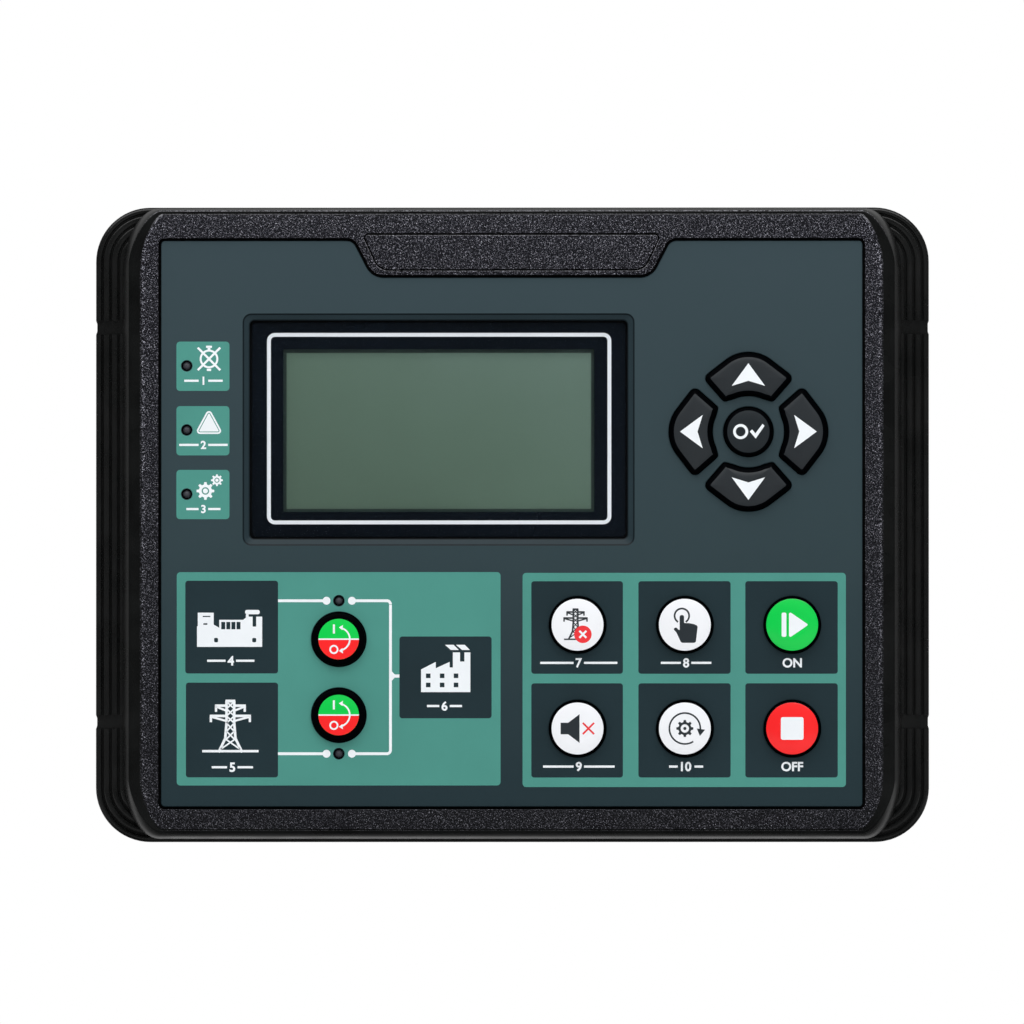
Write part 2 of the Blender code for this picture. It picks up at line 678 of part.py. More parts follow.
def rear_screws():
    """The centres of the rear board's screws."""
    return [(side * BOARD_SCREW_X, level * REAR_SCREW_Z) for side, level in QUADRANTS]


def case_screws():
    """The centres of the screws that hold the rear housing to the bezel."""
    return [(side * CASE_SCREW_X, level * CASE_SCREW_Z) for side, level in QUADRANTS]


# Materials

BLACK_PLASTIC = make_material("black_plastic", (0.012, 0.013, 0.015), 0.55)
HOUSING_PLASTIC = make_material("housing_plastic", (0.018, 0.019, 0.021), 0.6)
FACE_FILM = make_material("face_film", (0.055, 0.085, 0.098), 0.4)
LENS_ACRYLIC = make_material("lens_acrylic", (0.005, 0.007, 0.009), 0.08)
DISPLAY_GLASS = make_material("display_glass", (0.11, 0.16, 0.13), 0.15)
WHITE_PLASTIC = make_material("white_plastic", (0.75, 0.76, 0.76), 0.45)
KEY_WHITE = make_material("key_white", (0.86, 0.87, 0.9), 0.35)
KEY_GREEN = make_material("key_green", (0.0, 0.62, 0.04), 0.35)
KEY_RED = make_material("key_red", (1.0, 0.027, 0.027), 0.35)
KEY_GREY = make_material("key_grey", (0.032, 0.038, 0.042), 0.45)
LAMP_RESIN = make_material("lamp_resin", (0.06, 0.06, 0.06), 0.2)
SILICONE = make_material("silicone", (0.3, 0.31, 0.32), 0.7)
FOAM_RUBBER = make_material("foam_rubber", (0.01, 0.01, 0.01), 0.9)
BOARD_GREEN = make_material("board_green", (0.01, 0.12, 0.05), 0.4)
TERMINAL_GREEN = make_material("terminal_green", (0.02, 0.3, 0.1), 0.45)
STEEL = make_material("steel", (0.55, 0.55, 0.56), 0.3, 1.0)
CAN_ALUMINIUM = make_material("can_aluminium", (0.6, 0.61, 0.62), 0.35, 1.0)
RELAY_PLASTIC = make_material("relay_plastic", (0.02, 0.05, 0.12), 0.4)


# Front bezel

def rib_sections():
    """The flange's rim and the ribs that climb its sides, as outlines that close in step by step.

    Each rib is a tread with a rounded outer edge and a groove behind it. Along the top and bottom the raised
    frame covers them, and in the corners its wider curve cuts across them.
    """
    sections = [(silhouette(), FLANGE_BACK)]
    for rib in range(RIB_COUNT + 1):
        outer = rib * RIB_PITCH
        inner = outer + RIB_PITCH - RIB_GROOVE
        top = RIM_FRONT - rib * RIB_RISE
        sections.append((silhouette(outer), top + RIB_ROUNDING))
        sections.append((silhouette(outer + RIB_ROUNDING), top))
        sections.append((silhouette(inner), top - RIB_ROUNDING))
        sections.append((silhouette(inner), top + RIB_GROOVE))
        end = inner + RIB_GROOVE * (1 if rib < RIB_COUNT else 2)
        sections.append((silhouette(end), top + RIB_GROOVE))
    return sections


def frame_sections():
    """The raised frame, whose front edge is rounded and draws in further at the corners."""
    edge = FRAME_ROUNDING
    return [
        (frame_outline(), (FLANGE_BACK + RIM_FRONT) / 2),
        (frame_outline(), FRAME_FRONT + 2 * edge),
        (frame_outline(0.12, 0.5 * FRAME_CORNER_TAPER), FRAME_FRONT + edge),
        (frame_outline(0.45, 0.85 * FRAME_CORNER_TAPER), FRAME_FRONT + 0.35 * edge),
        (frame_outline(1.0, FRAME_CORNER_TAPER), FRAME_FRONT),
    ]


def side_notches():
    """Four tools that clear the ribs down to a smooth slope, two on each side."""
    half_width = FRONT_WIDTH / 2
    groove_floor = RIM_FRONT + RIB_GROOVE
    slope = [
        (half_width + THROUGH, RIM_FRONT - RIB_RISE * (RIB_COUNT + 1)),
        (half_width + THROUGH, groove_floor + THROUGH),
        (half_width - RIB_PITCH, groove_floor + RIB_GROOVE / 2),
        (half_width - FRAME_INSET_SIDE, groove_floor + RIB_GROOVE / 2 - RIB_COUNT * RIB_RISE),
        (half_width - FRAME_INSET_SIDE, RIM_FRONT - RIB_RISE * (RIB_COUNT + 1)),
    ]
    tools = []
    for side, level in QUADRANTS:
        middle = level * NOTCH_SPACING / 2
        bottom = [(side * x, y, middle - NOTCH_HEIGHT / 2) for x, y in slope]
        top = [(side * x, y, middle + NOTCH_HEIGHT / 2) for x, y in slope]
        count = len(slope)
        faces = [(step, (step + 1) % count, (step + 1) % count + count, step + count) for step in range(count)]
        faces += [tuple(range(count)), tuple(range(count, 2 * count))]
        tools.append((bottom + top, faces))
    return tools


def edge_nicks():
    """Four shallow V cuts in the rim, in the middle of the notches."""
    tools = []
    for side, level in QUADRANTS:
        edge = side * FRONT_WIDTH / 2
        middle = level * NOTCH_SPACING / 2
        corners = [(edge + side * NICK_DEPTH, middle - NOTCH_HEIGHT / 2),
                   (edge + side * NICK_DEPTH, middle + NOTCH_HEIGHT / 2),
                   (edge - side * NICK_DEPTH, middle)]
        tools.append(prism(corners, RIM_FRONT - THROUGH, FLANGE_BACK + THROUGH))
    return tools


def make_front_bezel():
    bezel = make_piece("front_bezel", [loft(rib_sections())], BLACK_PLASTIC)
    join(bezel, "bezel_raised_frame", [loft(frame_sections())])

    cut(bezel, "bezel_side_notches", side_notches())
    cut(bezel, "bezel_edge_nicks", edge_nicks())
    cavity = rounded_rectangle(CAVITY_WIDTH, CAVITY_HEIGHT, HOUSING_CORNER + BEZEL_FIT, segments=4)
    cut(bezel, "bezel_cavity", [prism(cavity, WALL_BACK, FLANGE_BACK + THROUGH)])
    cut(bezel, "bezel_recess", [prism(opening_outline(), FRAME_FRONT - THROUGH, SEAT)])

    pocket = inset(insert_outline(), -INSERT_GAP)
    pocket_floor = FRAME_FRONT + INSERT_THICKNESS + CLEARANCE
    cut(bezel, "bezel_insert_pocket", [prism(pocket, FRAME_FRONT - THROUGH, pocket_floor)])

    lens_pocket = display_outline(LENS_WIDTH + 2 * CLEARANCE, LENS_HEIGHT + 2 * CLEARANCE)
    view = display_outline(LENS_WIDTH - 2 * LENS_LEDGE, LENS_HEIGHT - 2 * LENS_LEDGE)
    openings = [loft([(lens_pocket, SEAT - THROUGH), (lens_pocket, LENS_SEAT), (view, LENS_SEAT),
                      (view, WALL_BACK + THROUGH)])]
    openings += [prism(hole, SEAT - THROUGH, WALL_BACK + THROUGH) for hole in key_holes()]
    lamp_hole = circle(LAMP_RADIUS + CLEARANCE, TINY_SEGMENTS)
    openings += [prism(shifted(lamp_hole, x, z), SEAT - THROUGH, WALL_BACK + THROUGH) for _, x, z in LAMPS]
    cut(bezel, "bezel_wall_openings", openings)

    inside_wall = WALL_BACK - WALL_THICKNESS / 2
    case_boss_end = CASE_JOINT
    board_boss_end = BOARD_FRONT - CLEARANCE
    bosses = [turned([(CASE_BOSS_RADIUS, inside_wall), (CASE_BOSS_RADIUS, case_boss_end)], SMALL_SEGMENTS, x, z)
              for x, z in case_screws()]
    bosses += [turned([(BOSS_RADIUS, inside_wall), (BOSS_RADIUS, board_boss_end)], TINY_SEGMENTS, x, z)
               for x, z in front_screws()]
    join(bezel, "bezel_bosses", bosses)
    pilot = circle(SCREW_HOLE_RADIUS, HIDDEN_SEGMENTS)
    case_pilot_end = case_boss_end - CASE_SCREW_ENGAGEMENT - CLEARANCE
    board_pilot_end = board_boss_end - BOARD_SCREW_ENGAGEMENT - CLEARANCE
    pilots = [prism(shifted(pilot, x, z), case_pilot_end, case_boss_end + THROUGH) for x, z in case_screws()]
    pilots += [prism(shifted(pilot, x, z), board_pilot_end, board_boss_end + THROUGH) for x, z in front_screws()]
    cut(bezel, "bezel_pilot_holes", pilots)

    groove_outer = silhouette(GASKET_MARGIN - CLEARANCE)
    groove_inner = silhouette(GASKET_MARGIN + GASKET_WIDTH + CLEARANCE)
    groove_floor = -GASKET_THICKNESS - CLEARANCE
    cut(bezel, "bezel_gasket_groove", [tube(groove_outer, groove_inner, groove_floor, FLANGE_BACK + THROUGH)])


def make_name_insert():
    make_piece("name_insert", [loft([
        (insert_outline(), FRAME_FRONT + INSERT_THICKNESS),
        (insert_outline(), FRAME_FRONT + CLEARANCE),
        (inset(insert_outline(), CLEARANCE), FRAME_FRONT),
    ])], BLACK_PLASTIC)


def make_panel_gasket():
    outer = silhouette(GASKET_MARGIN)
    inner = silhouette(GASKET_MARGIN + GASKET_WIDTH)
    make_piece("panel_gasket", [tube(outer, inner, -GASKET_THICKNESS, 0.0)], FOAM_RUBBER)


# Face panel and display

def make_face_panel():
    panel = make_piece("face_panel", [prism(inset(opening_outline(), FACE_GAP), FACE_FRONT, FACE_BACK)], FACE_FILM)
    bevel_outer = display_outline(LENS_WIDTH + 2 * (CLEARANCE + DISPLAY_BEVEL_SIDE),
                                  LENS_HEIGHT + 2 * (CLEARANCE + DISPLAY_BEVEL_TOP), LENS_CORNER + CLEARANCE)
    bevel_inner = display_outline(LENS_WIDTH + 2 * CLEARANCE, LENS_HEIGHT + 2 * CLEARANCE)
    openings = [loft([(bevel_outer, FACE_FRONT - THROUGH), (bevel_outer, FACE_FRONT),
                      (bevel_inner, LENS_FRONT), (bevel_inner, FACE_BACK + THROUGH)])]
    openings += [prism(hole, FACE_FRONT - THROUGH, FACE_BACK + THROUGH) for hole in key_holes()]
    lamp_hole = circle(LAMP_RADIUS + CLEARANCE, TINY_SEGMENTS)
    openings += [prism(shifted(lamp_hole, x, z), FACE_FRONT - THROUGH, FACE_BACK + THROUGH) for _, x, z in LAMPS]
    cut(panel, "face_panel_openings", openings)


def make_display():
    lens = display_outline(LENS_WIDTH, LENS_HEIGHT)
    make_piece("display_window", [prism(lens, LENS_FRONT, LENS_BACK)], LENS_ACRYLIC)
    glass = display_outline(GLASS_WIDTH, GLASS_HEIGHT, GLASS_CORNER)
    make_piece("lcd_glass", [prism(glass, GLASS_FRONT, GLASS_BACK)], DISPLAY_GLASS)
    make_piece("lcd_light_guide", [prism(glass, GUIDE_FRONT, GUIDE_BACK)], WHITE_PLASTIC)
    holder_outer = display_outline(GLASS_WIDTH + 2 * (CLEARANCE + HOLDER_WALL),
                                   GLASS_HEIGHT + 2 * (CLEARANCE + HOLDER_WALL))
    holder_inner = display_outline(GLASS_WIDTH + 2 * CLEARANCE, GLASS_HEIGHT + 2 * CLEARANCE,
                                   GLASS_CORNER + CLEARANCE)
    holder = tube(holder_outer, holder_inner, GLASS_FRONT, BOARD_FRONT - CLEARANCE)
    make_piece("lcd_holder", [holder], WHITE_PLASTIC)


# Keys

def key_stem(x, z):
    """The stem that reaches from a key's lip through the mat."""
    inside_lip = LIP_BACK - KEY_LIP_THICKNESS / 2
    return turned([(STEM_RADIUS, inside_lip), (STEM_RADIUS, STEM_END)], HIDDEN_SEGMENTS, x, z)


def turned_key(name, x, z, radius, material):
    """A round key: a flat face with a rounded shoulder, a lip behind the wall and a stem."""
    profile = [
        (radius - KEY_SHOULDER, KEY_CROWN),
        (radius - 0.3 * KEY_SHOULDER, KEY_CROWN + 0.3 * KEY_SHOULDER),
        (radius, KEY_CROWN + KEY_SHOULDER),
        (radius, LIP_FRONT),
        (radius + KEY_LIP, LIP_FRONT),
        (radius + KEY_LIP, LIP_BACK),
    ]
    key = make_piece(name, [turned(profile)], material, x, z)
    join(key, name + "_stem", [key_stem(0.0, 0.0)])


def arrow_key(name, quarter_turns):
    """One of four equal keys round the centre key: a pillow top on the arrow outline, a lip and a stem."""
    outline = inset(arrow_outline(), KEY_GAP)
    lip = inset(arrow_outline(), KEY_GAP - KEY_LIP)
    middle_x, middle_z = 0.0, ARROW_STEM

    def drawn_in(share):
        return [(middle_x + (x - middle_x) * share, middle_z + (z - middle_z) * share) for x, z in outline]

    top = loft([(turned_about(section, quarter_turns), y) for section, y in (
        (drawn_in(0.82), KEY_CROWN + 0.4 * KEY_SHOULDER),
        (outline, KEY_CROWN + 1.8 * KEY_SHOULDER),
        (outline, LIP_FRONT),
        (lip, LIP_FRONT),
        (lip, LIP_BACK),
    )])
    key = make_piece(name, [top], KEY_GREY, ARROWS_X, ARROWS_Z)
    stem_x, stem_z = turned_about([(0.0, ARROW_STEM)], quarter_turns)[0]
    join(key, name + "_stem", [key_stem(stem_x, stem_z)])


def make_keys():
    colours = {"start_key": KEY_GREEN, "stop_key": KEY_RED}
    for name, x, z in ROUND_KEYS:
        turned_key(name, x, z, ROUND_KEY_RADIUS, colours.get(name, KEY_WHITE))
    for name, x, z in SWITCH_KEYS:
        turned_key(name, x, z, SWITCH_KEY_RADIUS, KEY_GREEN)
    turned_key("centre_key", ARROWS_X, ARROWS_Z, CENTRE_KEY_RADIUS, KEY_GREY)
    for name, quarter_turns in ARROW_KEYS:
        arrow_key(name, quarter_turns)


def make_keypad_mat():
    """A silicone sheet on the front board, with a collar and a hole for each key stem."""
    stems = key_stems()
    hole = STEM_RADIUS + CLEARANCE
    collar = hole + COLLAR_WALL
    margin = collar + MAT_MARGIN
    left = SWITCH_X - margin
    right = BOARD_SCREW_X - BOSS_RADIUS - MAT_CLEAR
    low = min(z for _, z in stems) - margin
    step_z = SWITCH_TOP_Z + SWITCH_LAMP_OFFSET + collar
    step_x = DISPLAY_X + GLASS_WIDTH / 2 + CLEARANCE + HOLDER_WALL + MAT_CLEAR
    high = ARROWS_Z + ARROW_STEM + margin
    sheet = [(right, high), (step_x, high), (step_x, step_z), (left, step_z), (left, low), (right, low)]
    mat = make_piece("keypad_mat", [prism(sheet, MAT_FRONT, MAT_BACK)], SILICONE)
    join(mat, "mat_collars", [
        turned([(collar, COLLAR_TOP), (collar + COLLAR_WALL / 2, MAT_FRONT + MAT_THICKNESS / 2)],
               HIDDEN_SEGMENTS, x, z)
        for x, z in stems])
    stem_hole = circle(hole, HIDDEN_SEGMENTS)
    holes = [prism(shifted(stem_hole, x, z), COLLAR_TOP - THROUGH, MAT_BACK + THROUGH) for x, z in stems]
    foot = circle(LAMP_FOOT_RADIUS + CLEARANCE, TINY_SEGMENTS)
    holes += [prism(shifted(foot, x, z), COLLAR_TOP - THROUGH, MAT_BACK + THROUGH) for _, x, z in LAMPS[3:]]
    cut(mat, "mat_holes", holes)


def make_lamps():
    """Lamps that stand on the front board and end just inside the face panel."""
    tip = FACE_FRONT + LAMP_SUNK
    foot_end = BOARD_FRONT - CLEARANCE
    profile = [
        (0.0, tip),
        (0.6 * LAMP_RADIUS, tip + 0.2 * LAMP_RADIUS),
        (LAMP_RADIUS, tip + LAMP_RADIUS),
        (LAMP_RADIUS, foot_end - LAMP_FOOT_HEIGHT),
        (LAMP_FOOT_RADIUS, foot_end - LAMP_FOOT_HEIGHT),
        (LAMP_FOOT_RADIUS, foot_end),
    ]
    for name, x, z in LAMPS:
        make_piece(name, [turned(profile, TINY_SEGMENTS)], LAMP_RESIN, x, z)


# Boards and what they carry

def make_boards():
    hole = circle(SCREW_HOLE_RADIUS, HIDDEN_SEGMENTS)
    boards = (("front_board", BOARD_FRONT, BOARD_BACK, front_screws()),
              ("rear_board", REAR_BOARD_FRONT, REAR_BOARD_BACK, rear_screws()))
    for name, front, back, screws in boards:
        board = make_piece(name, [prism(board_outline(), front, back)], BOARD_GREEN)
        cut(board, name + "_holes", [prism(shifted(hole, x, z), front - THROUGH, back + THROUGH) for x, z in screws])


def make_board_connector():
    """A plug on the front board whose tongue stands in the channel of a socket on the rear board."""
    base = BOARD_BACK + CLEARANCE
    tongue_start = base + PLUG_BASE
    tongue_end = tongue_start + PLUG_TONGUE_REACH
    half = PLUG_DEPTH / 2
    tongue = PLUG_TONGUE / 2
    plug_profile = [(base, -half), (base, half), (tongue_start, half), (tongue_start, tongue),
                    (tongue_end, tongue), (tongue_end, -tongue), (tongue_start, -tongue), (tongue_start, -half)]
    make_piece("board_plug", [along_x(plug_profile, -PLUG_LENGTH / 2, PLUG_LENGTH / 2)], BLACK_PLASTIC)
    mouth = tongue_start + CLEARANCE
    floor = tongue_end + CLEARANCE
    end = REAR_BOARD_FRONT - CLEARANCE
    slot = tongue + CLEARANCE
    socket_profile = [(mouth, -half), (mouth, -slot), (floor, -slot), (floor, slot),
                      (mouth, slot), (mouth, half), (end, half), (end, -half)]
    make_piece("board_socket", [along_x(socket_profile, -PLUG_LENGTH / 2, PLUG_LENGTH / 2)], BLACK_PLASTIC)


def make_relays_and_capacitor():
    width, height, depth = RELAY_SIZE
    body = rounded_rectangle(width, height, RELAY_CORNER, segments=2)
    for number in range(3):
        x = (number - 2) * RELAY_PITCH
        make_piece("relay_%d" % (number + 1), [loft([
            (body, ON_REAR_BOARD), (body, ON_REAR_BOARD + depth - RELAY_EDGE),
            (inset(body, RELAY_EDGE), ON_REAR_BOARD + depth)])], RELAY_PLASTIC, x, 0.0)
    end = ON_REAR_BOARD + CAPACITOR_LENGTH
    waist = ON_REAR_BOARD + CAPACITOR_WAIST
    edge = CAPACITOR_EDGE
    narrow = CAPACITOR_RADIUS - edge
    make_piece("supply_capacitor", [turned([
        (narrow, ON_REAR_BOARD),
        (CAPACITOR_RADIUS, ON_REAR_BOARD + edge),
        (CAPACITOR_RADIUS, waist - edge),
        (narrow, waist),
        (CAPACITOR_RADIUS, waist + edge),
        (CAPACITOR_RADIUS, end - edge),
        (narrow, end),
    ], SMALL_SEGMENTS)], CAN_ALUMINIUM, CAPACITOR_X, 0.0)


# Terminals

def terminal_length(poles, pitch):
    """The length of a header or plug."""
    return poles * pitch + 2 * TERMINAL_END


def make_terminals():
    """For each row of terminals a header on the rear board and the plug that sits in it."""
    header_back = LEDGE_DEPTH + HEADER_STANDS_OUT
    cavity_floor = ON_REAR_BOARD + HEADER_FLOOR
    cavity_depth = HEADER_DEPTH - 2 * HEADER_WALL
    contact_end = cavity_floor + CONTACT_LENGTH
    plug_front = cavity_floor + CLEARANCE
    plug_shoulder = header_back + CLEARANCE
    plug_back = header_back + PLUG_STANDS_OUT
    for number, poles, pitch, x, level in TERMINALS:
        z = level * TERMINAL_Z
        length = terminal_length(poles, pitch)
        tongue_length = length - 2 * (HEADER_WALL + CLEARANCE)

        header = make_piece("terminal_header_" + number,
                            [block(0, 0, length, HEADER_DEPTH, ON_REAR_BOARD, header_back)], TERMINAL_GREEN, x, z)
        cut(header, "header_cavity_" + number, [block(0, 0, length - 2 * HEADER_WALL, cavity_depth, cavity_floor,
                                                      header_back + THROUGH)])
        join(header, "header_contacts_" + number, [
            block(0, 0, tongue_length - 4 * HEADER_WALL, CONTACT_THICKNESS, cavity_floor - HEADER_FLOOR / 2,
                  contact_end)])

        tongue_half = cavity_depth / 2 - CLEARANCE
        outward = level * (tongue_half + PLUG_BULGE)
        inward = -level * (tongue_half + PLUG_LIP)
        body = [(plug_shoulder, inward), (plug_shoulder, outward), (plug_back - PLUG_CHAMFER, outward),
                (plug_back, outward - level * PLUG_CHAMFER), (plug_back, inward + level * PLUG_SMALL_CHAMFER),
                (plug_back - PLUG_SMALL_CHAMFER, inward)]
        plug_body = along_x(body, -length / 2, length / 2)
        plug = make_piece("terminal_plug_" + number, [plug_body], TERMINAL_GREEN, x, z)
        join(plug, "plug_tongue_" + number, [block(0, 0, tongue_length, 2 * tongue_half, plug_front,
                                                   plug_shoulder + PLUG_TONGUE_LAP)])
        slot_height = CONTACT_THICKNESS + 2 * CLEARANCE
        slot = block(0, 0, tongue_length - 2 * HEADER_WALL, slot_height, plug_front - THROUGH, contact_end + CLEARANCE)
        wire_y = plug_back - WIRE_HOLE_FROM_BACK
        wires = []
        clamps = []
        for pole in range(poles):
            place = (pole - (poles - 1) / 2) * pitch
            end = outward + level * THROUGH
            start = outward - level * WIRE_HOLE_DEPTH
            half = WIRE_HOLE / 2
            wires.append(along_x([(wire_y - half, start), (wire_y + half, start), (wire_y + half, end),
                                  (wire_y - half, end)], place - half, place + half))
            clamps.append(turned([(CLAMP_HOLE_RADIUS, plug_back - CLAMP_HOLE_DEPTH),
                                  (CLAMP_HOLE_RADIUS, plug_back + THROUGH)],
                                 HIDDEN_SEGMENTS, place, inward + level * CLAMP_HOLE_INSET))
        cut(plug, "plug_holes_" + number, [slot] + wires + clamps)


# Rear housing

def make_rear_housing():
    wall = HOUSING_WALL
    edge = HOUSING_EDGE
    housing = make_piece("rear_housing", [loft([
        (housing_outline(), HOUSING_FRONT),
        (housing_outline(), LEDGE_DEPTH - edge),
        (housing_outline(0.3 * edge), LEDGE_DEPTH - 0.3 * edge),
        (housing_outline(edge), LEDGE_DEPTH),
    ])], HOUSING_PLASTIC)
    join(housing, "housing_hump", [loft([
        (hump_outline(0.0), LEDGE_DEPTH - wall),
        (hump_outline(HUMP_DRAFT), HUMP_DEPTH - edge),
        (hump_outline(HUMP_DRAFT + 0.3 * edge), HUMP_DEPTH - 0.3 * edge),
        (hump_outline(HUMP_DRAFT + edge), HUMP_DEPTH),
    ])])
    cut(housing, "housing_inside", [prism(housing_outline(wall), HOUSING_FRONT - THROUGH, LEDGE_INSIDE)])
    cut(housing, "housing_hump_inside", [loft([
        (hump_outline(wall), LEDGE_INSIDE - THROUGH),
        (hump_outline(wall + HUMP_DRAFT), HUMP_INSIDE),
    ])])

    into_ledge = LEDGE_INSIDE + wall / 2
    posts = [turned([(COLUMN_RADIUS, CASE_JOINT + CLEARANCE), (COLUMN_RADIUS, into_ledge)], SMALL_SEGMENTS, x, z)
             for x, z in case_screws()]
    posts += [turned([(BOSS_RADIUS, ON_REAR_BOARD), (BOSS_RADIUS, into_ledge)], TINY_SEGMENTS, x, z)
              for x, z in rear_screws()]
    join(housing, "housing_posts", posts)

    head_hole = SCREW_HEAD_RADIUS + CLEARANCE
    holes = [turned([(SCREW_HOLE_RADIUS, CASE_JOINT - THROUGH), (SCREW_HOLE_RADIUS, SCREW_SEAT),
                     (head_hole, SCREW_SEAT), (head_hole, LEDGE_DEPTH + THROUGH)],
                    TINY_SEGMENTS, x, z) for x, z in case_screws()]
    holes += [turned([(SCREW_HOLE_RADIUS, ON_REAR_BOARD - THROUGH),
                      (SCREW_HOLE_RADIUS, ON_REAR_BOARD + BOARD_SCREW_ENGAGEMENT + CLEARANCE)],
                     HIDDEN_SEGMENTS, x, z) for x, z in rear_screws()]
    cut(housing, "housing_screw_holes", holes)

    slots = [block(x, level * TERMINAL_Z, terminal_length(poles, pitch) + 2 * CLEARANCE,
                   HEADER_DEPTH + 2 * CLEARANCE, LEDGE_INSIDE - THROUGH, LEDGE_DEPTH + THROUGH)
             for _, poles, pitch, x, level in TERMINALS]
    for column in range(VENT_COUNT):
        x = (column - (VENT_COUNT - 1) / 2) * VENT_PITCH
        slots += [block(x, level * VENT_ROW_SPACING / 2, VENT_WIDTH, VENT_LENGTH, HUMP_INSIDE - THROUGH,
                        HUMP_DEPTH + THROUGH) for level in (1, -1)]
    side_wall = HOUSING_WIDTH / 2 - wall / 2
    slots += [block(side * side_wall, level * CLIP_SLOT_SPACING / 2, wall + 2 * THROUGH, CLIP_SLOT_LENGTH,
                    CLIP_SLOT_DEPTH, CLIP_SLOT_DEPTH + CLIP_SLOT_WIDTH) for side, level in QUADRANTS]
    cut(housing, "housing_slots", slots)


# Screws

def screw(name, x, z, seat, tip, segments=HIDDEN_SEGMENTS):
    """A pan-head screw whose head bears on the seat and whose shank ends at the tip."""
    away = 1 if seat > tip else -1
    head_end = seat + away * SCREW_HEAD_HEIGHT
    make_piece(name, [turned([
        (0.0, tip),
        (SCREW_SHANK_RADIUS, tip + away * SCREW_SHANK_RADIUS),
        (SCREW_SHANK_RADIUS, seat),
        (SCREW_HEAD_RADIUS, seat),
        (SCREW_HEAD_RADIUS, head_end - away * 0.4 * SCREW_HEAD_HEIGHT),
        (SCREW_HEAD_RADIUS * 0.65, head_end),
    ], segments)], STEEL, x, z)


def make_screws():
    for number, (x, z) in enumerate(case_screws()):
        screw("case_screw_%d" % (number + 1), x, z, SCREW_SEAT + CLEARANCE, CASE_JOINT - CASE_SCREW_ENGAGEMENT,
              TINY_SEGMENTS)
    for number, (x, z) in enumerate(front_screws()):
        screw("front_board_screw_%d" % (number + 1), x, z, BOARD_BACK + CLEARANCE,
              BOARD_FRONT - CLEARANCE - BOARD_SCREW_ENGAGEMENT)
    for number, (x, z) in enumerate(rear_screws()):
        screw("rear_board_screw_%d" % (number + 1), x, z, REAR_BOARD_FRONT - CLEARANCE,
              ON_REAR_BOARD + BOARD_SCREW_ENGAGEMENT)


make_front_bezel()
make_name_insert()
make_panel_gasket()
make_face_panel()
make_display()
make_keys()
make_keypad_mat()
make_lamps()
make_boards()
make_board_connector()
make_relays_and_capacitor()
make_terminals()
make_rear_housing()
make_screws()
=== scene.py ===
"""Looks of the genset controller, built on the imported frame.

Sizes are in millimetres in the CAD's frame: +X right, +Z up, and the front faces -Y. make_object turns them into
metres. Outlines are lists of (x, z) points that run anticlockwise as the front is seen.
"""
import json
import math

import bmesh
import bpy
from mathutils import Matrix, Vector
from mathutils.geometry import tessellate_polygon


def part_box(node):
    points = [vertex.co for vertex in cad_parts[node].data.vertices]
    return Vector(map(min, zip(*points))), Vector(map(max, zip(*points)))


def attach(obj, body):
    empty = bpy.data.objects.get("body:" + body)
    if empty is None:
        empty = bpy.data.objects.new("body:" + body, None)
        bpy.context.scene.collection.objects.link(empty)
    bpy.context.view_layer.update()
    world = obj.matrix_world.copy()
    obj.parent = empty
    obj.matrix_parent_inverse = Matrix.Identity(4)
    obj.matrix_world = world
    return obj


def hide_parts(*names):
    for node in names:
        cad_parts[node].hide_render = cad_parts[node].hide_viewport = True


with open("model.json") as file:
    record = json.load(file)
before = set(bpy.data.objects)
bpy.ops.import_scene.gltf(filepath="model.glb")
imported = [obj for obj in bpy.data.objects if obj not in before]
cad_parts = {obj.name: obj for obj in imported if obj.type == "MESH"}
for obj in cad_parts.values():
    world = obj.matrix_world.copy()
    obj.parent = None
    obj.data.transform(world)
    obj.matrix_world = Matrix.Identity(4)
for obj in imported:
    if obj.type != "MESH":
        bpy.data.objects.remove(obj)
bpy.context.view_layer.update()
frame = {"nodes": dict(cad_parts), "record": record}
nodes = frame["nodes"]

MM = 0.001


def depths(name):
    """Where a CAD piece starts and ends in depth."""
    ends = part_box(name)
    return ends[0].y / MM, ends[1].y / MM


FACE_FRONT, FACE_BACK = depths("face_panel")
KEY_CROWN, STEM_END = depths("test_key")
LENS_FRONT, LENS_BACK = depths("display_window")
GLASS_FRONT = depths("lcd_glass")[0]
FRAME_FRONT = depths("front_bezel")[0]
INSERT_BACK = depths("name_insert")[1]

PRINT = 0.02
GREEN_LEVEL = FACE_FRONT - PRINT
WHITE_LEVEL = FACE_FRONT - 1.7 * PRINT
KEY_PRINT = -0.02
KEY_OVERPRINT = -0.03
EDGE_BREAK = 0.14
HOUSING = "housing"

# The bezel, from the silhouette inwards and from the panel forwards
HALF_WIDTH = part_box("front_bezel")[1].x / MM
HALF_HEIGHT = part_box("front_bezel")[1].z / MM
FRONT_CORNER = 13.7
FLANGE_BACK = -0.5
RIM_FRONT = -3.1
RIB_COUNT = 3
RIB_PITCH = 2.1
RIB_RISE = 2.0
NOTCH_MIDDLE = 49.7
NOTCH_HALF = 1.75
NICK_DEPTH = 0.6
SEAT = -13.9
LENS_SEAT = -12.3
WALL_BACK = -11.5
CAVITY = (92.9, 68.4, 4.4)
PILOT_RADIUS = 1.75
CASE_SCREWS = (86.0, 61.5)
BOARD_SCREWS = ((84.0, 50.0), (84.0, -38.55))

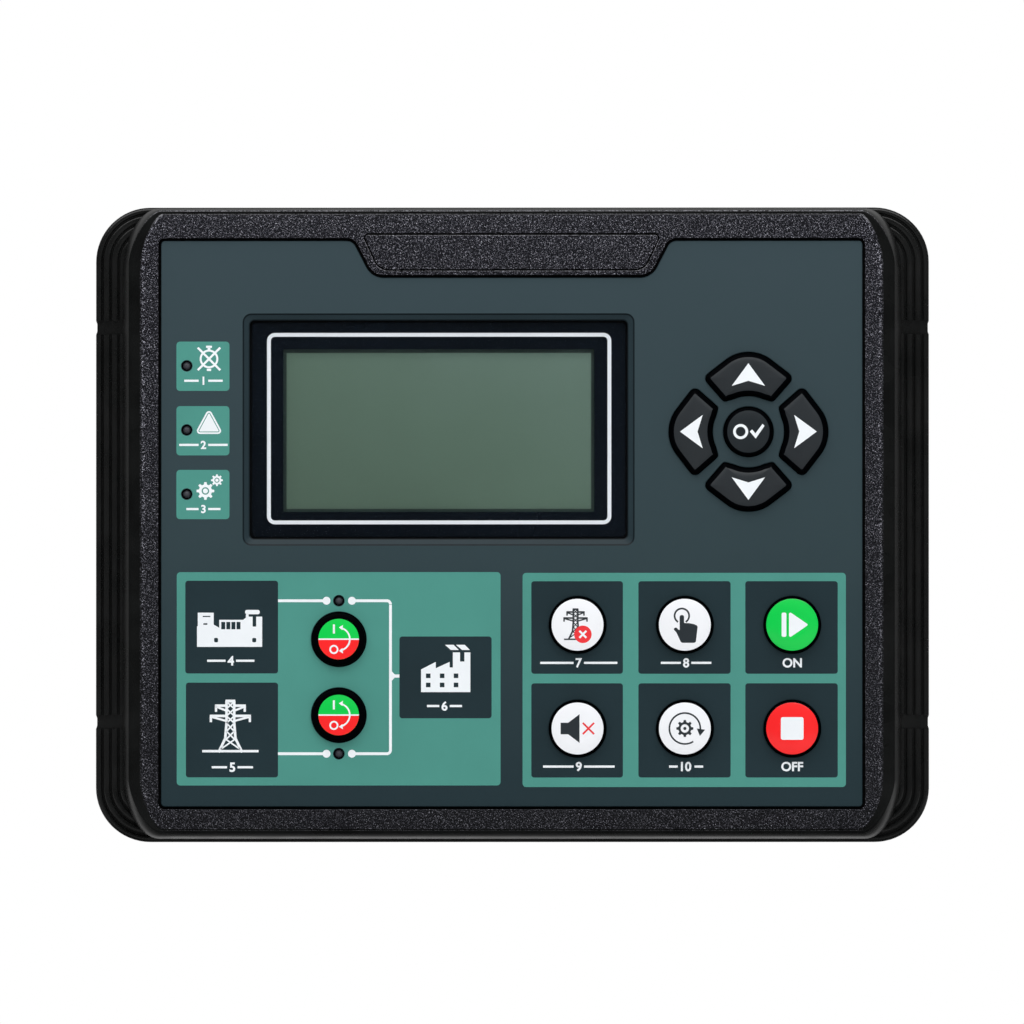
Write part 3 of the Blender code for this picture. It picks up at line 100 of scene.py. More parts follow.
# The raised frame from its foot to its front: insets from the silhouette at the sides, top and bottom, the reach of
# the corners across and down, how flat the corners are, and how far behind the front it is
FRAME_STEPS = (
    (6.9, 0.45, 0.8, 9.3, 17.0, 0.00, 14.2),
    (6.9, 0.45, 0.8, 9.3, 17.0, 0.00, 7.2),
    (7.3, 0.60, 1.05, 9.1, 16.3, 0.05, 4.5),
    (7.8, 0.72, 1.3, 8.8, 15.2, 0.12, 2.6),
    (8.2, 0.84, 1.6, 8.5, 14.3, 0.19, 1.5),
    (8.45, 0.98, 1.9, 8.3, 13.7, 0.24, 0.85),
    (8.6, 1.15, 2.2, 8.1, 13.3, 0.26, 0.55),
    (8.9, 1.40, 2.5, 7.9, 13.1, 0.27, 0.40),
    (9.6, 1.75, 2.7, 7.3, 13.0, 0.28, 0.38),
    (10.4, 2.02, 2.85, 6.7, 12.9, 0.28, 0.46),
    (11.2, 2.12, 2.95, 6.0, 12.8, 0.28, 0.38),
    (12.0, 2.22, 3.05, 5.3, 12.7, 0.28, 0.13),
    (12.8, 2.32, 3.15, 4.6, 12.6, 0.28, 0.00),
)

# Keys, lamps and display
ROUND_RADIUS = 6.96
SWITCH_RADIUS = 6.6
SWITCH_FACE = 5.1
CENTRE_RADIUS = 6.07
KEY_GAP = 0.3
KEY_LIP = 0.8
LIP_FRONT = -11.2
LIP_BACK = -10.3
LAMP_HOLE = 1.34
DISPLAY = (-18.4, 23.7)
LENS_POCKET = (95.1, 55.0, 1.2)
ARROWS = (59.6, 23.1)
ROUND_KEYS = tuple((name, x, z) for z, names in (
    (-25.5, ("test_key", "manual_key", "start_key")), (-51.6, ("mute_key", "auto_key", "stop_key")),
) for name, x in zip(names, (16.6, 43.6, 70.6)))
SWITCHES = {"generator_switch_key": (-43.5, -29.1), "mains_switch_key": (-43.5, -48.2)}
LAMPS = {
    "status_lamp_1": (-81.8, 39.75),
    "status_lamp_2": (-81.8, 23.6),
    "status_lamp_3": (-81.8, 7.45),
    "generator_lamp": (-43.5, -19.4),
    "mains_lamp": (-43.5, -57.9),
}


# Outlines

def circle(radius, x=0.0, z=0.0, segments=64):
    return [(x + radius * math.cos(2 * math.pi * step / segments), z + radius * math.sin(2 * math.pi * step / segments))
            for step in range(segments)]


def rounded(corners, segments=6):
    """A polygon from (x, z, radius) corners; a corner of radius 0 stays sharp."""
    points = []
    for index, (x, z, radius) in enumerate(corners):
        if radius == 0:
            points.append((x, z))
            continue
        corner = Vector((x, z))
        before = (Vector(corners[index - 1][:2]) - corner).normalized()
        after = (Vector(corners[(index + 1) % len(corners)][:2]) - corner).normalized()
        half_angle = before.angle(after) / 2
        centre = corner + (before + after).normalized() * radius / math.sin(half_angle)
        start = corner + before * radius / math.tan(half_angle) - centre
        end = corner + after * radius / math.tan(half_angle) - centre
        sweep = start.angle_signed(end)
        points += moved([rotated([start], -sweep * step / segments)[0] for step in range(segments + 1)], *centre)
    return points


def box(left, right, low, high, radius=0.0, segments=6):
    return rounded([(right, high, radius), (left, high, radius), (left, low, radius), (right, low, radius)], segments)


def box_at(x, z, width, height, radius=0.0, segments=6):
    return box(x - width / 2, x + width / 2, z - height / 2, z + height / 2, radius, segments)


def moved(outline, x, z):
    return [(point_x + x, point_z + z) for point_x, point_z in outline]


def rotated(outline, angle):
    cosine = math.cos(angle)
    sine = math.sin(angle)
    return [(x * cosine - z * sine, x * sine + z * cosine) for x, z in outline]


def inset(outline, distance):
    """The outline moved inwards by a distance, or outwards by a negative one."""
    result = []
    for index, point in enumerate(outline):
        here = Vector(point)
        before = (here - Vector(outline[index - 1])).normalized()
        after = (Vector(outline[(index + 1) % len(outline)]) - here).normalized()
        normal_before = Vector((-before.y, before.x))
        normal_after = Vector((-after.y, after.x))
        mitre = (normal_before + normal_after) / (1 + normal_before.dot(normal_after))
        result.append(tuple(here + mitre * distance))
    return result


def line(start, end, width):
    """A straight bar between two points."""
    start = Vector(start)
    end = Vector(end)
    side = (end - start).normalized()
    side = Vector((-side.y, side.x)) * width / 2
    return [tuple(start - side), tuple(end - side), tuple(end + side), tuple(start + side)]


def arc(radius, width, start, end, steps=32):
    """A bent bar about the origin between two angles in degrees."""
    angles = [math.radians(start + (end - start) * step / steps) for step in range(steps + 1)]
    outer = [((radius + width / 2) * math.cos(angle), (radius + width / 2) * math.sin(angle)) for angle in angles]
    inner = [((radius - width / 2) * math.cos(angle), (radius - width / 2) * math.sin(angle)) for angle in angles]
    return outer + inner[::-1]


def cross(x, z, reach, width):
    """A slanted cross as one outline."""
    corners = []
    for turn in range(4):
        arm = [(width / 2, width / 2), (reach, width / 2), (reach, -width / 2)]
        corners += rotated(arm, math.radians(45 - 90 * turn))
    return moved(corners[::-1], x, z)


def gear(radius, root, teeth=8):
    """A gear's outline with tapered teeth."""
    points = []
    for tooth in range(teeth):
        for share, reach in ((-0.30, root), (-0.17, radius), (0.17, radius), (0.30, root)):
            angle = 2 * math.pi * (tooth + share) / teeth
            points.append((reach * math.cos(angle), reach * math.sin(angle)))
    return points


def arrow_key_outline():
    """The hole of the upper arrow key about the centre of the four, as in the CAD but smoother."""
    hollow = 9.0
    heel = (6.2, 7.5)
    arc_start = math.pi / 2 + (math.pi / 2 - math.atan2(heel[1], heel[0])) * 0.62
    arc_end = math.pi - arc_start
    corners = [(11.6, 13.65, 1.6), (3.2, 20.1, 9.2), (-3.2, 20.1, 9.2), (-11.6, 13.65, 1.6), (-heel[0], heel[1], 1.0)]
    for step in range(9):
        angle = arc_start + (arc_end - arc_start) * step / 8
        corners.append((hollow * math.cos(angle), hollow * math.sin(angle), 0))
    return rounded(corners + [(*heel, 1.0)])


# Meshes

def shade(mesh, smooth_angle):
    mesh.shade_smooth()
    mesh.set_sharp_from_angle(angle=math.radians(smooth_angle))


def make_object(name, points, faces, materials, slots=None, smooth_angle=32):
    mesh = bpy.data.meshes.new(name)
    mesh.from_pydata([(x * MM, y * MM, z * MM) for x, y, z in points], [], faces)
    for material in materials:
        mesh.materials.append(material)
    if slots:
        mesh.polygons.foreach_set("material_index", slots)
    shade(mesh, smooth_angle)
    piece = bpy.data.objects.new(name, mesh)
    bpy.context.scene.collection.objects.link(piece)
    return piece


def clean(piece):
    """Weld the points of a piece's mesh, drop faces without area and turn all faces outwards."""
    editor = bmesh.new()
    editor.from_mesh(piece.data)
    bmesh.ops.remove_doubles(editor, verts=editor.verts, dist=0.001 * MM)
    bmesh.ops.dissolve_degenerate(editor, edges=editor.edges, dist=0.001 * MM)
    bmesh.ops.recalc_face_normals(editor, faces=editor.faces)
    editor.to_mesh(piece.data)
    editor.free()
    shade(piece.data, 32)


def ring(outline, y):
    return [(x, y, z) for x, z in outline]


def join_up(rings, closed=False):
    """Faces through rings of equally many points; each ring is a list of (x, y, z)."""
    count = len(rings[0])
    points = [point for ring in rings for point in ring]
    faces = []
    for near in range(0, len(points) - count, count):
        for index in range(count):
            after = (index + 1) % count
            faces.append((near + index, near + after, near + count + after, near + count + index))
    if closed:
        faces += [tuple(reversed(range(count))), tuple(range(len(points) - count, len(points)))]
    return points, faces


def flat(outlines, y):
    """Triangles that face the front between outlines; those after the first are holes."""
    loops = [[Vector((x * MM, z * MM, 0.0)) for x, z in outline] for outline in outlines]
    points = [point for outline in outlines for point in outline]
    faces = []
    for a, b, c in tessellate_polygon(loops):
        (ax, az), (bx, bz), (cx, cz) = points[a], points[b], points[c]
        turn = (bx - ax) * (cz - az) - (bz - az) * (cx - ax)
        if abs(turn) > 1e-8:
            faces.append((a, b, c) if turn > 0 else (a, c, b))
    return ring(points, y), faces


class Prints:
    """The shapes of one piece about an origin, grouped by material."""

    def __init__(self, origin=(0.0, 0.0, 0.0), materials=()):
        self.origin = origin
        self.materials = list(materials)
        self.points = []
        self.faces = []
        self.slots = []
        self.count = 0

    def slot(self, material):
        if material not in self.materials:
            self.materials.append(material)
        return self.materials.index(material)

    def append(self, points, faces, slot=0):
        start = len(self.points)
        self.points.extend(tuple(value + shift for value, shift in zip(point, self.origin)) for point in points)
        self.faces.extend(tuple(index + start for index in face) for face in faces)
        self.slots.extend([slot] * len(faces))

    def sheet(self, outlines, y, slot=0):
        self.append(*flat(outlines, y), slot)

    def skin(self, levels, slot=0, closed=False):
        """The walls through (outline, y) levels."""
        self.append(*join_up([ring(outline, y) for outline, y in levels], closed), slot)

    def add(self, outlines, y, material, back=None):
        """A shape with holes whose front is at y, with side walls down to the surface that carries it."""
        slot = self.slot(material)
        self.count += 1
        y -= self.count % 12 * 0.0005
        self.sheet(outlines, y, slot)
        if back is not None:
            for outline in outlines:
                self.skin([(outline, back), (outline, y)], slot)

    def mark(self, *outlines, lift=0.0):
        """A white shape with holes on the face panel."""
        self.add(outlines, WHITE_LEVEL - lift * PRINT, WHITE)

    def write(self, text, height, x, z, bold=0.03):
        """White figures of the given height on the face panel, centred on (x, z)."""
        curve = bpy.data.curves.new("digits", "FONT")
        curve.body = text
        curve.size = 1.0
        curve.resolution_u = 6
        curve.offset = bold
        holder = bpy.data.objects.new("digits", curve)
        bpy.context.scene.collection.objects.link(holder)
        depsgraph = bpy.context.evaluated_depsgraph_get()
        mesh = bpy.data.meshes.new_from_object(holder.evaluated_get(depsgraph))
        xs = [vertex.co.x for vertex in mesh.vertices]
        zs = [vertex.co.y for vertex in mesh.vertices]
        factor = height / (max(zs) - min(zs))
        middle_x = (max(xs) + min(xs)) / 2
        middle_z = (max(zs) + min(zs)) / 2
        self.append([((text_x - middle_x) * factor + x, WHITE_LEVEL, (text_z - middle_z) * factor + z)
                     for text_x, text_z in zip(xs, zs)],
                    [tuple(polygon.vertices) for polygon in mesh.polygons], self.slot(WHITE))
        bpy.data.objects.remove(holder)
        bpy.data.meshes.remove(mesh)

    def piece(self, name, body):
        made = make_object(name, self.points, self.faces, self.materials, self.slots)
        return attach(made, body)


# Materials

def linear(red, green, blue):
    """A colour given as 0 to 255 on screen."""
    return tuple((value / 255 / 12.92) if value <= 10 else ((value / 255 + 0.055) / 1.055) ** 2.4
                 for value in (red, green, blue))


class Tree:
    """The nodes of a material or world. An input is a value or the output of another node."""

    def __init__(self, owner):
        owner.use_nodes = True
        self.tree = owner.node_tree

    def fill(self, node, inputs):
        for name, value in inputs.items():
            if isinstance(value, bpy.types.NodeSocket):
                self.tree.links.new(value, node.inputs[name])
            else:
                node.inputs[name].default_value = value

    def add(self, kind, inputs, **settings):
        node = self.tree.nodes.new("ShaderNode" + kind)
        for name, value in settings.items():
            setattr(node, name, value)
        self.fill(node, inputs)
        return node.outputs

    def math(self, operation, *values):
        return self.add("Math", dict(enumerate(values)), operation=operation)["Value"]

    def product(self, *values):
        result = values[0]
        for value in values[1:]:
            result = self.math("MULTIPLY", result, value)
        return result

    def mix(self, kind, factor, first, second):
        return self.add("Mix", {"Factor": factor, "A": first, "B": second}, data_type=kind)["Result"]

    def place(self, system="Object"):
        return self.add("TexCoord", {})[system]

    def split(self, vector):
        return self.add("SeparateXYZ", {"Vector": vector})

    def noise(self, size, detail=2.0, roughness=0.5, stretch=(1, 1, 1), turn=0.0):
        """Noise of about the given size on the object's own coordinates, stretched and turned about Y."""
        scale = tuple(share * size * MM for share in stretch)
        mapping = self.add("Mapping", {"Vector": self.place(), "Scale": scale,
                                       "Rotation": (0.0, math.radians(turn), 0.0)}, vector_type="TEXTURE")
        return self.add("TexNoise", {"Vector": mapping["Vector"], "Scale": 1.0, "Detail": detail,
                                     "Roughness": roughness})["Fac"]

    def ramp(self, source, *stops):
        """Colours along a value from (position, colour) stops; a number is a grey."""
        outputs = self.add("ValToRGB", {"Fac": source})
        elements = outputs["Color"].node.color_ramp.elements
        while len(elements) < len(stops):
            elements.new(0.5)
        for element, (position, colour) in zip(elements, stops):
            element.position = position
            element.color = (*(colour if isinstance(colour, tuple) else (colour,) * 3), 1.0)
        return outputs["Color"]

    def spread(self, source, low, high, start=0.3, end=0.7):
        """A value mapped to a range."""
        return self.add("MapRange", {"Value": source, "From Min": start, "From Max": end, "To Min": low,
                                     "To Max": high})["Result"]

    def drift(self, value, size, detail, reach):
        """A value that noise moves by a reach in millimetres."""
        return self.math("MULTIPLY_ADD", self.noise(size, detail), reach * MM, value)

    def bump(self, shader, height, strength, distance):
        relief = self.add("Bump", {"Height": height, "Strength": strength, "Distance": distance * MM})
        self.fill(shader, {"Normal": relief["Normal"]})


def node_material(name):
    material = bpy.data.materials.new(name)
    tree = Tree(material)
    return material, tree, tree.tree.nodes["Principled BSDF"]


def surface(name, colour, roughness, metallic=0.0, change=0.12, blotch=18, grain=0.25, relief=0.15, coat=0.0, level=0.5):
    """A moulded, printed or metal surface: slight blotches of colour and gloss over a fine relief."""
    material, tree, shader = node_material(name)
    base = linear(*colour)
    darker = tuple(value * (1 - change) for value in base)
    lighter = tuple(min(1.0, value * (1 + change)) for value in base)
    fine = tree.noise(grain, 3.0)
    tree.fill(shader, {
        "Base Color": tree.ramp(tree.noise(blotch, 4.0), (0.3, darker), (0.7, lighter)),
        "Roughness": tree.spread(fine, roughness * 0.88, min(1.0, roughness * 1.12)), "Metallic": metallic,
        "Coat Weight": coat, "Coat Roughness": 0.08, "Specular IOR Level": level,
    })
    tree.bump(shader, fine, relief, 0.1)
    return material


def grained_plastic(name):
    """Black moulded plastic: the frame's front has a grain whose bright specks are painted glints, the ribs and walls
    are nearly smooth. The grain fades as painted shade towards the bottom and in the shallow hollows along the frame's
    sides, and painted glints lie along its upward-facing ridge.
    """
    material, tree, shader = node_material(name)
    place = tree.split(tree.place())
    normal = tree.split(tree.add("NewGeometry", {})["Normal"])

    def ahead_of(near, far):
        """1 ahead of a depth behind the frame's front, falling to 0 at another."""
        return tree.spread(place["Y"], 1.0, 0.0, (FRAME_FRONT + near) * MM, (FRAME_FRONT + far) * MM)

    # Painted shade: the grain is dimmed in a band along the frame's sides, the shallow hollow inside its outer ridge.
    across = tree.spread(tree.math("ABSOLUTE", place["X"]), 0.0, 1.0, 91.5 * MM, 97.0 * MM)
    hollow = tree.ramp(across, (0.26, 1.0), (0.41, 0.1), (0.58, 0.1), (0.70, 0.7))
    # Where the grain shows. It also fades towards the bottom as painted shade.
    grain_with_painted_shade = tree.product(
        ahead_of(0.2, 0.36), tree.spread(normal["Y"], 1.0, 0.0, -0.75, -0.5),
        tree.spread(tree.math("ABSOLUTE", normal["Z"]), 1.0, 0.0, 0.4, 0.6),
        tree.spread(place["Z"], 0.5, 1.0, -60 * MM, 76 * MM), hollow)

    speck = tree.noise(0.2, 2.0, 0.6, (1.0, 1.0, 2.6), 35)
    for turn in (-50, 100, 160):
        speck = tree.math("MAXIMUM", speck, tree.noise(0.2, 2.0, 0.6, (1.0, 1.0, 2.6), turn))
    cloud = tree.noise(9, 3.0)
    # The grain's specks: the darker stops are the plastic, the brightest stops are painted glints.
    grain_and_painted_glint_colour = tree.ramp(speck, (0.53, linear(12, 12, 15)), (0.60, linear(24, 25, 30)),
                             (0.65, linear(70, 70, 80)), (0.72, linear(225, 225, 238)))
    plain_colour = tree.ramp(cloud, (0.3, linear(13, 14, 14)), (0.7, linear(21, 22, 22)))
    colour = tree.mix("RGBA", grain_with_painted_shade, plain_colour, grain_and_painted_glint_colour)
    # Painted glint: pale specks on the upward-facing ridge near the frame's front.
    edge = tree.ramp(tree.math("ABSOLUTE", normal["Y"]), (0.55, 0.0), (0.68, 1.0), (0.88, 1.0), (0.96, 0.0))
    painted_crest_glint = tree.product(edge, tree.spread(normal["Z"], 0.0, 1.0, 0.1, 0.35),
                         tree.spread(speck, 0.0, 1.0, 0.54, 0.66), ahead_of(0.9, 1.2))
    tree.fill(shader, {
        "Base Color": tree.mix("RGBA", painted_crest_glint, colour, (*linear(150, 150, 156), 1.0)),
        "Roughness": tree.mix("FLOAT", grain_with_painted_shade, tree.spread(cloud, 0.24, 0.32),
                              tree.spread(speck, 0.50, 0.36, 0.5, 0.7)),
        "Specular IOR Level": tree.spread(ahead_of(0.5, 0.7), 0.5, 0.1, 0.0, 1.0),
    })
    tree.bump(shader, tree.product(speck, grain_with_painted_shade), 0.6, 0.2)
    return material


def face_film():
    """The printed sheet: slate grey under a fine satin texture, with painted light that makes it lighter towards its
    top and darker towards its bottom.
    """
    material, tree, shader = node_material("face_film_printed")
    # Painted light: the grey brightens from bottom to top as if lit from above.
    height = tree.spread(tree.drift(tree.split(tree.place())["Z"], 34, 3.0, 22), 0.0, 1.0, -55 * MM, 78 * MM)
    fine = tree.noise(0.22, 3.0)
    tree.fill(shader, {
        "Base Color": tree.ramp(height, (0.0, linear(32, 50, 56)), (0.45, linear(46, 63, 68)), (1.0, linear(52, 68, 74))),
        "Roughness": tree.spread(fine, 0.40, 0.52), "Specular IOR Level": 0.25,
    })
    tree.bump(shader, fine, 0.12, 0.08)
    return material


def liquid_crystal():
    """The resting display: grey-green, lighter towards the upper right, with faint clouds."""
    material, tree, shader = node_material("lcd_field")
    place = tree.split(tree.place())
    slant = tree.math("MULTIPLY_ADD", place["X"], 0.45, place["Z"])
    level = tree.spread(tree.drift(slant, 22, 2.0, 26), 0.0, 1.0, -5 * MM, 62 * MM)
    tree.fill(shader, {
        "Base Color": tree.ramp(level, (0.0, linear(79, 101, 87)), (0.5, linear(88, 112, 98)),
                                (1.0, linear(98, 122, 111))),
        "Roughness": tree.spread(tree.noise(0.3, 1.0), 0.30, 0.36),
    })
    return material


def clear_lens():
    material, tree, shader = node_material("clear_lens")
    cloud = tree.noise(30)
    tree.fill(shader, {
        "Base Color": tree.ramp(cloud, (0.3, (0.010, 0.014, 0.019)), (0.7, (0.014, 0.019, 0.025))),
        "Roughness": tree.spread(cloud, 0.03, 0.06), "Alpha": 0.05, "Specular IOR Level": 0.35,
    })
    return material


BEZEL = grained_plastic("bezel_grained_black")
# A darker copy of the bezel's black for the walls and floors inside its opening, pocket and holes: painted shade.
RECESS_PAINTED_SHADE = surface("bezel_recess_painted_shade", (3, 4, 6), 0.6, change=0.2, relief=0.1, level=0.15)
FACE = face_film()
GREEN = surface("print_green", (74, 143, 132), 0.46, change=0.05, blotch=26, relief=0.08, level=0.25)
DARK = surface("print_dark", (30, 48, 54), 0.44, change=0.08, blotch=20, relief=0.08, level=0.25)
WHITE = surface("print_white", (236, 241, 245), 0.5, change=0.02, relief=0.05)
INK = surface("print_black", (36, 44, 50), 0.45, change=0.05, relief=0.05)
RED_INK = surface("print_red", (235, 45, 52), 0.45, change=0.04, relief=0.05)
BORDER = surface("lens_border_black", (7, 14, 22), 0.25, change=0.15, blotch=40, relief=0.03, level=0.2)
LENS_LINE = surface("lens_line_white", (240, 246, 252), 0.5, change=0.02, relief=0.03)
LCD = liquid_crystal()
LCD_EDGE = surface("lcd_edge", (38, 54, 50), 0.3, relief=0.05)
LENS = clear_lens()
BEVEL = surface("bevel_film", (34, 49, 55), 0.42, change=0.08, blotch=20, relief=0.08, level=0.25)
BEVEL_EDGE = surface("bevel_edge", (17, 28, 33), 0.42, change=0.08, blotch=20, relief=0.08, level=0.2)
WHITE_CAP = surface("cap_white", (240, 242, 246), 0.36, change=0.015, relief=0.05, coat=0.3)
GREEN_CAP = surface("cap_green", (0, 205, 76), 0.34, change=0.05, relief=0.05, coat=0.7, level=0.3)
RED_CAP = surface("cap_red", (250, 34, 36), 0.34, change=0.04, relief=0.05, coat=0.7, level=0.3)
BLACK_CAP = surface("cap_black", (1, 2, 4), 0.5, change=0.2, relief=0.06, level=0.02)
CENTRE_CAP = surface("cap_centre", (34, 40, 44), 0.42, change=0.07, blotch=7, relief=0.14, level=0.25)
GREY_CAP = surface("cap_grey", (38, 43, 47), 0.42, change=0.07, blotch=7, relief=0.14, level=0.4)
LAMP_LENS = surface("lamp_resin_grey", (58, 60, 67), 0.5, change=0.1, blotch=1.5, relief=0.03)

# The material of each CAD piece by its slot in the record
BY_SLOT = {
    "black_plastic": surface("connector_black", (24, 25, 27), 0.5, relief=0.2),
    "housing_plastic": surface("case_black", (30, 31, 33), 0.55, change=0.15, grain=0.35, relief=0.45),
    "face_film": FACE,
    "lens_acrylic": LENS,
    "display_glass": LCD_EDGE,
    "white_plastic": surface("holder_white", (225, 226, 226), 0.45, change=0.03, relief=0.1),
    "key_white": WHITE_CAP,
    "key_green": GREEN_CAP,
    "key_red": RED_CAP,
    "key_grey": GREY_CAP,
    "lamp_resin": LAMP_LENS,
    "silicone": surface("mat_silicone", (148, 150, 152), 0.7, relief=0.2),
    "foam_rubber": surface("gasket_foam", (26, 26, 27), 0.95, change=0.25, blotch=2, grain=0.5, relief=0.9),
    "board_green": surface("board_resist", (26, 98, 62), 0.35, change=0.2, blotch=3, relief=0.2),
    "terminal_green": surface("terminal_moulded", (40, 150, 90), 0.42, change=0.08, relief=0.18),
    "steel": surface("screw_steel", (190, 190, 196), 0.3, metallic=1.0, change=0.12, blotch=1.5, relief=0.1),
    "can_aluminium": surface("can_drawn", (200, 201, 204), 0.34, metallic=1.0, relief=0.1),
    "relay_plastic": surface("relay_case", (38, 62, 98), 0.38, relief=0.15),
}
for part in frame["record"]["subparts"]:
    material = BEZEL if part["node"] in ("front_bezel", "name_insert") else BY_SLOT[part["material_slot"]]
    holder = nodes[part["node"]]
    holder.data.materials.clear()
    holder.data.materials.append(material)


# Bezel

def silhouette_stations(corner_steps=16):
    """Places round the silhouette as (x, z, outward x, outward z, notch, nick), anticlockwise from the right.

    The sides have pairs of stations where the walls of the notches stand, the first of them on the ribs and the
    second in the notch, or the other way round.
    """
    near = NOTCH_MIDDLE - NOTCH_HALF
    far = NOTCH_MIDDLE + NOTCH_HALF
    notch = [(near, False, 0.0), (near, True, 0.0), (NOTCH_MIDDLE, True, NICK_DEPTH), (far, True, 0.0),
             (far, False, 0.0)]
    stations = []
    for quarter, (side, level) in enumerate(((1, 1), (-1, 1), (-1, -1), (1, -1))):
        corner = []
        for step in range(corner_steps + 1):
            angle = math.pi / 2 * (quarter + step / corner_steps)
            corner.append((side * (HALF_WIDTH - FRONT_CORNER) + FRONT_CORNER * math.cos(angle),
                           level * (HALF_HEIGHT - FRONT_CORNER) + FRONT_CORNER * math.sin(angle),
                           math.cos(angle), math.sin(angle), False, 0.0))
        along = [(side * HALF_WIDTH, level * z, side, 0.0, low, nick) for z, low, nick in notch]
        stations += along + corner if quarter % 2 == 0 else corner + along[::-1]
    return stations


def notch_floor(distance):
    """How far forward the smooth slope in a notch lies at a distance from the silhouette."""
    foot = RIM_FRONT + 0.75
    if distance < RIB_PITCH:
        return foot + 0.24 * (RIB_PITCH - distance)
    return foot - min(distance - RIB_PITCH, RIB_COUNT * RIB_PITCH) * RIB_RISE / RIB_PITCH


def rib_profile():
    """The section of the flange and the ribs as (distance from the silhouette, y), from the back edge forwards."""
    rim_edge = ((0.0, 0.85), (0.06, 0.55), (0.2, 0.28), (0.42, 0.1), (0.72, 0.0))
    rib_edge = ((0.0, 0.30), (0.04, 0.15), (0.12, 0.05), (0.26, 0.0))
    groove = ((1.24, 0.04), (1.38, 0.10), (1.46, 0.26), (1.5, 1.0), (2.06, 1.05))
    profile = [(0.25, FLANGE_BACK), (0.07, FLANGE_BACK - 0.07), (0.0, FLANGE_BACK - 0.25)]
    for rib in range(RIB_COUNT + 1):
        profile += [(rib * RIB_PITCH + across, RIM_FRONT - rib * RIB_RISE + down)
                    for across, down in (rib_edge if rib else rim_edge) + groove]
    profile.append((RIB_COUNT * RIB_PITCH + 4.2, profile[-1][1]))
    return profile


def cavity_at(stations):
    """The opening at the back that takes the rear housing, with a point for each station."""
    half_width, half_height, corner = CAVITY
    points = []
    for x, z, out_x, out_z, _, _ in stations:
        if abs(z) <= HALF_HEIGHT - FRONT_CORNER and out_z == 0.0:
            points.append((math.copysign(half_width, x), z))
        else:
            points.append((math.copysign(half_width - corner, x) + corner * out_x,
                           math.copysign(half_height - corner, z) + corner * out_z))
    return points


def frame_outline(side, top, bottom, across, down, flatter, segments=24):
    """The frame's outline at insets from the silhouette, with corners like quarters of an ellipse."""
    points = []
    half_width = HALF_WIDTH - side
    for quarter, (right, up) in enumerate(((1, 1), (-1, 1), (-1, -1), (1, -1))):
        half_height = HALF_HEIGHT - (top if up > 0 else bottom)
        for step in range(segments + 1):
            angle = math.pi / 2 * (quarter + step / segments)
            out_x = abs(math.cos(angle)) ** (1 + flatter)
            out_z = abs(math.sin(angle)) ** (1 + flatter)
            points.append((right * (half_width - across * (1 - out_x)), up * (half_height - down * (1 - out_z))))
    return points


def opening_outline():
    """The opening of the frame, with the tab that comes down from its top edge."""
    side = 88.95
    top = 71.9
    tab = top - 9.3
    return rounded([
        (side, top, 1.6), (39.6, top, 3.2), (34.8, tab, 4.2), (-34.8, tab, 4.2),
        (-39.6, top, 3.2), (-side, top, 1.6), (-side, -top, 1.6), (side, -top, 1.6),
    ], 8)


def insert_outline(grow=0.0):
    """The plate in the tab, a trapezoid that is wider at its top."""
    corners = [(37.3, 72.7, 0.8), (-37.3, 72.7, 0.8), (-33.3, 64.0, 3.6), (33.3, 64.0, 3.6)]
    return inset(rounded(corners, 8), -grow)


def wall_holes():
    """The holes of the face panel and of the wall behind it, without the display's."""
    holes = [circle(ROUND_RADIUS + KEY_GAP, x, z) for _, x, z in ROUND_KEYS]
    holes += [circle(SWITCH_RADIUS + KEY_GAP, x, z) for x, z in SWITCHES.values()]
    holes.append(circle(CENTRE_RADIUS + KEY_GAP, *ARROWS))
    holes += [moved(rotated(arrow_key_outline(), math.pi / 2 * turn), *ARROWS) for turn in range(4)]
    return holes + [circle(LAMP_HOLE, x, z, 32) for x, z in LAMPS.values()]


def add_ribs(shell):
    """The flange with its ribs, notches and nicks, and the groove for the gasket in its back."""
    stations = silhouette_stations()
    profile = rib_profile()
    foot = RIM_FRONT + 1.3
    rings = []
    for distance, y in profile:
        level = []
        for x, z, out_x, out_z, in_notch, nick in stations:
            reach = max(distance, nick)
            level.append((x - out_x * reach, notch_floor(distance) if in_notch and y < foot else y, z - out_z * reach))
        rings.append(level)
    cavity = cavity_at(stations)
    rings += [ring(cavity, WALL_BACK + 0.4), ring(cavity, FLANGE_BACK)]
    for distance, y in ((6.0, FLANGE_BACK), (6.0, -1.5), (2.0, -1.5), (2.0, FLANGE_BACK), profile[0]):
        rings.append([(x - out_x * distance, y, z - out_z * distance) for x, z, out_x, out_z, _, _ in stations])
    shell.append(*join_up(rings))


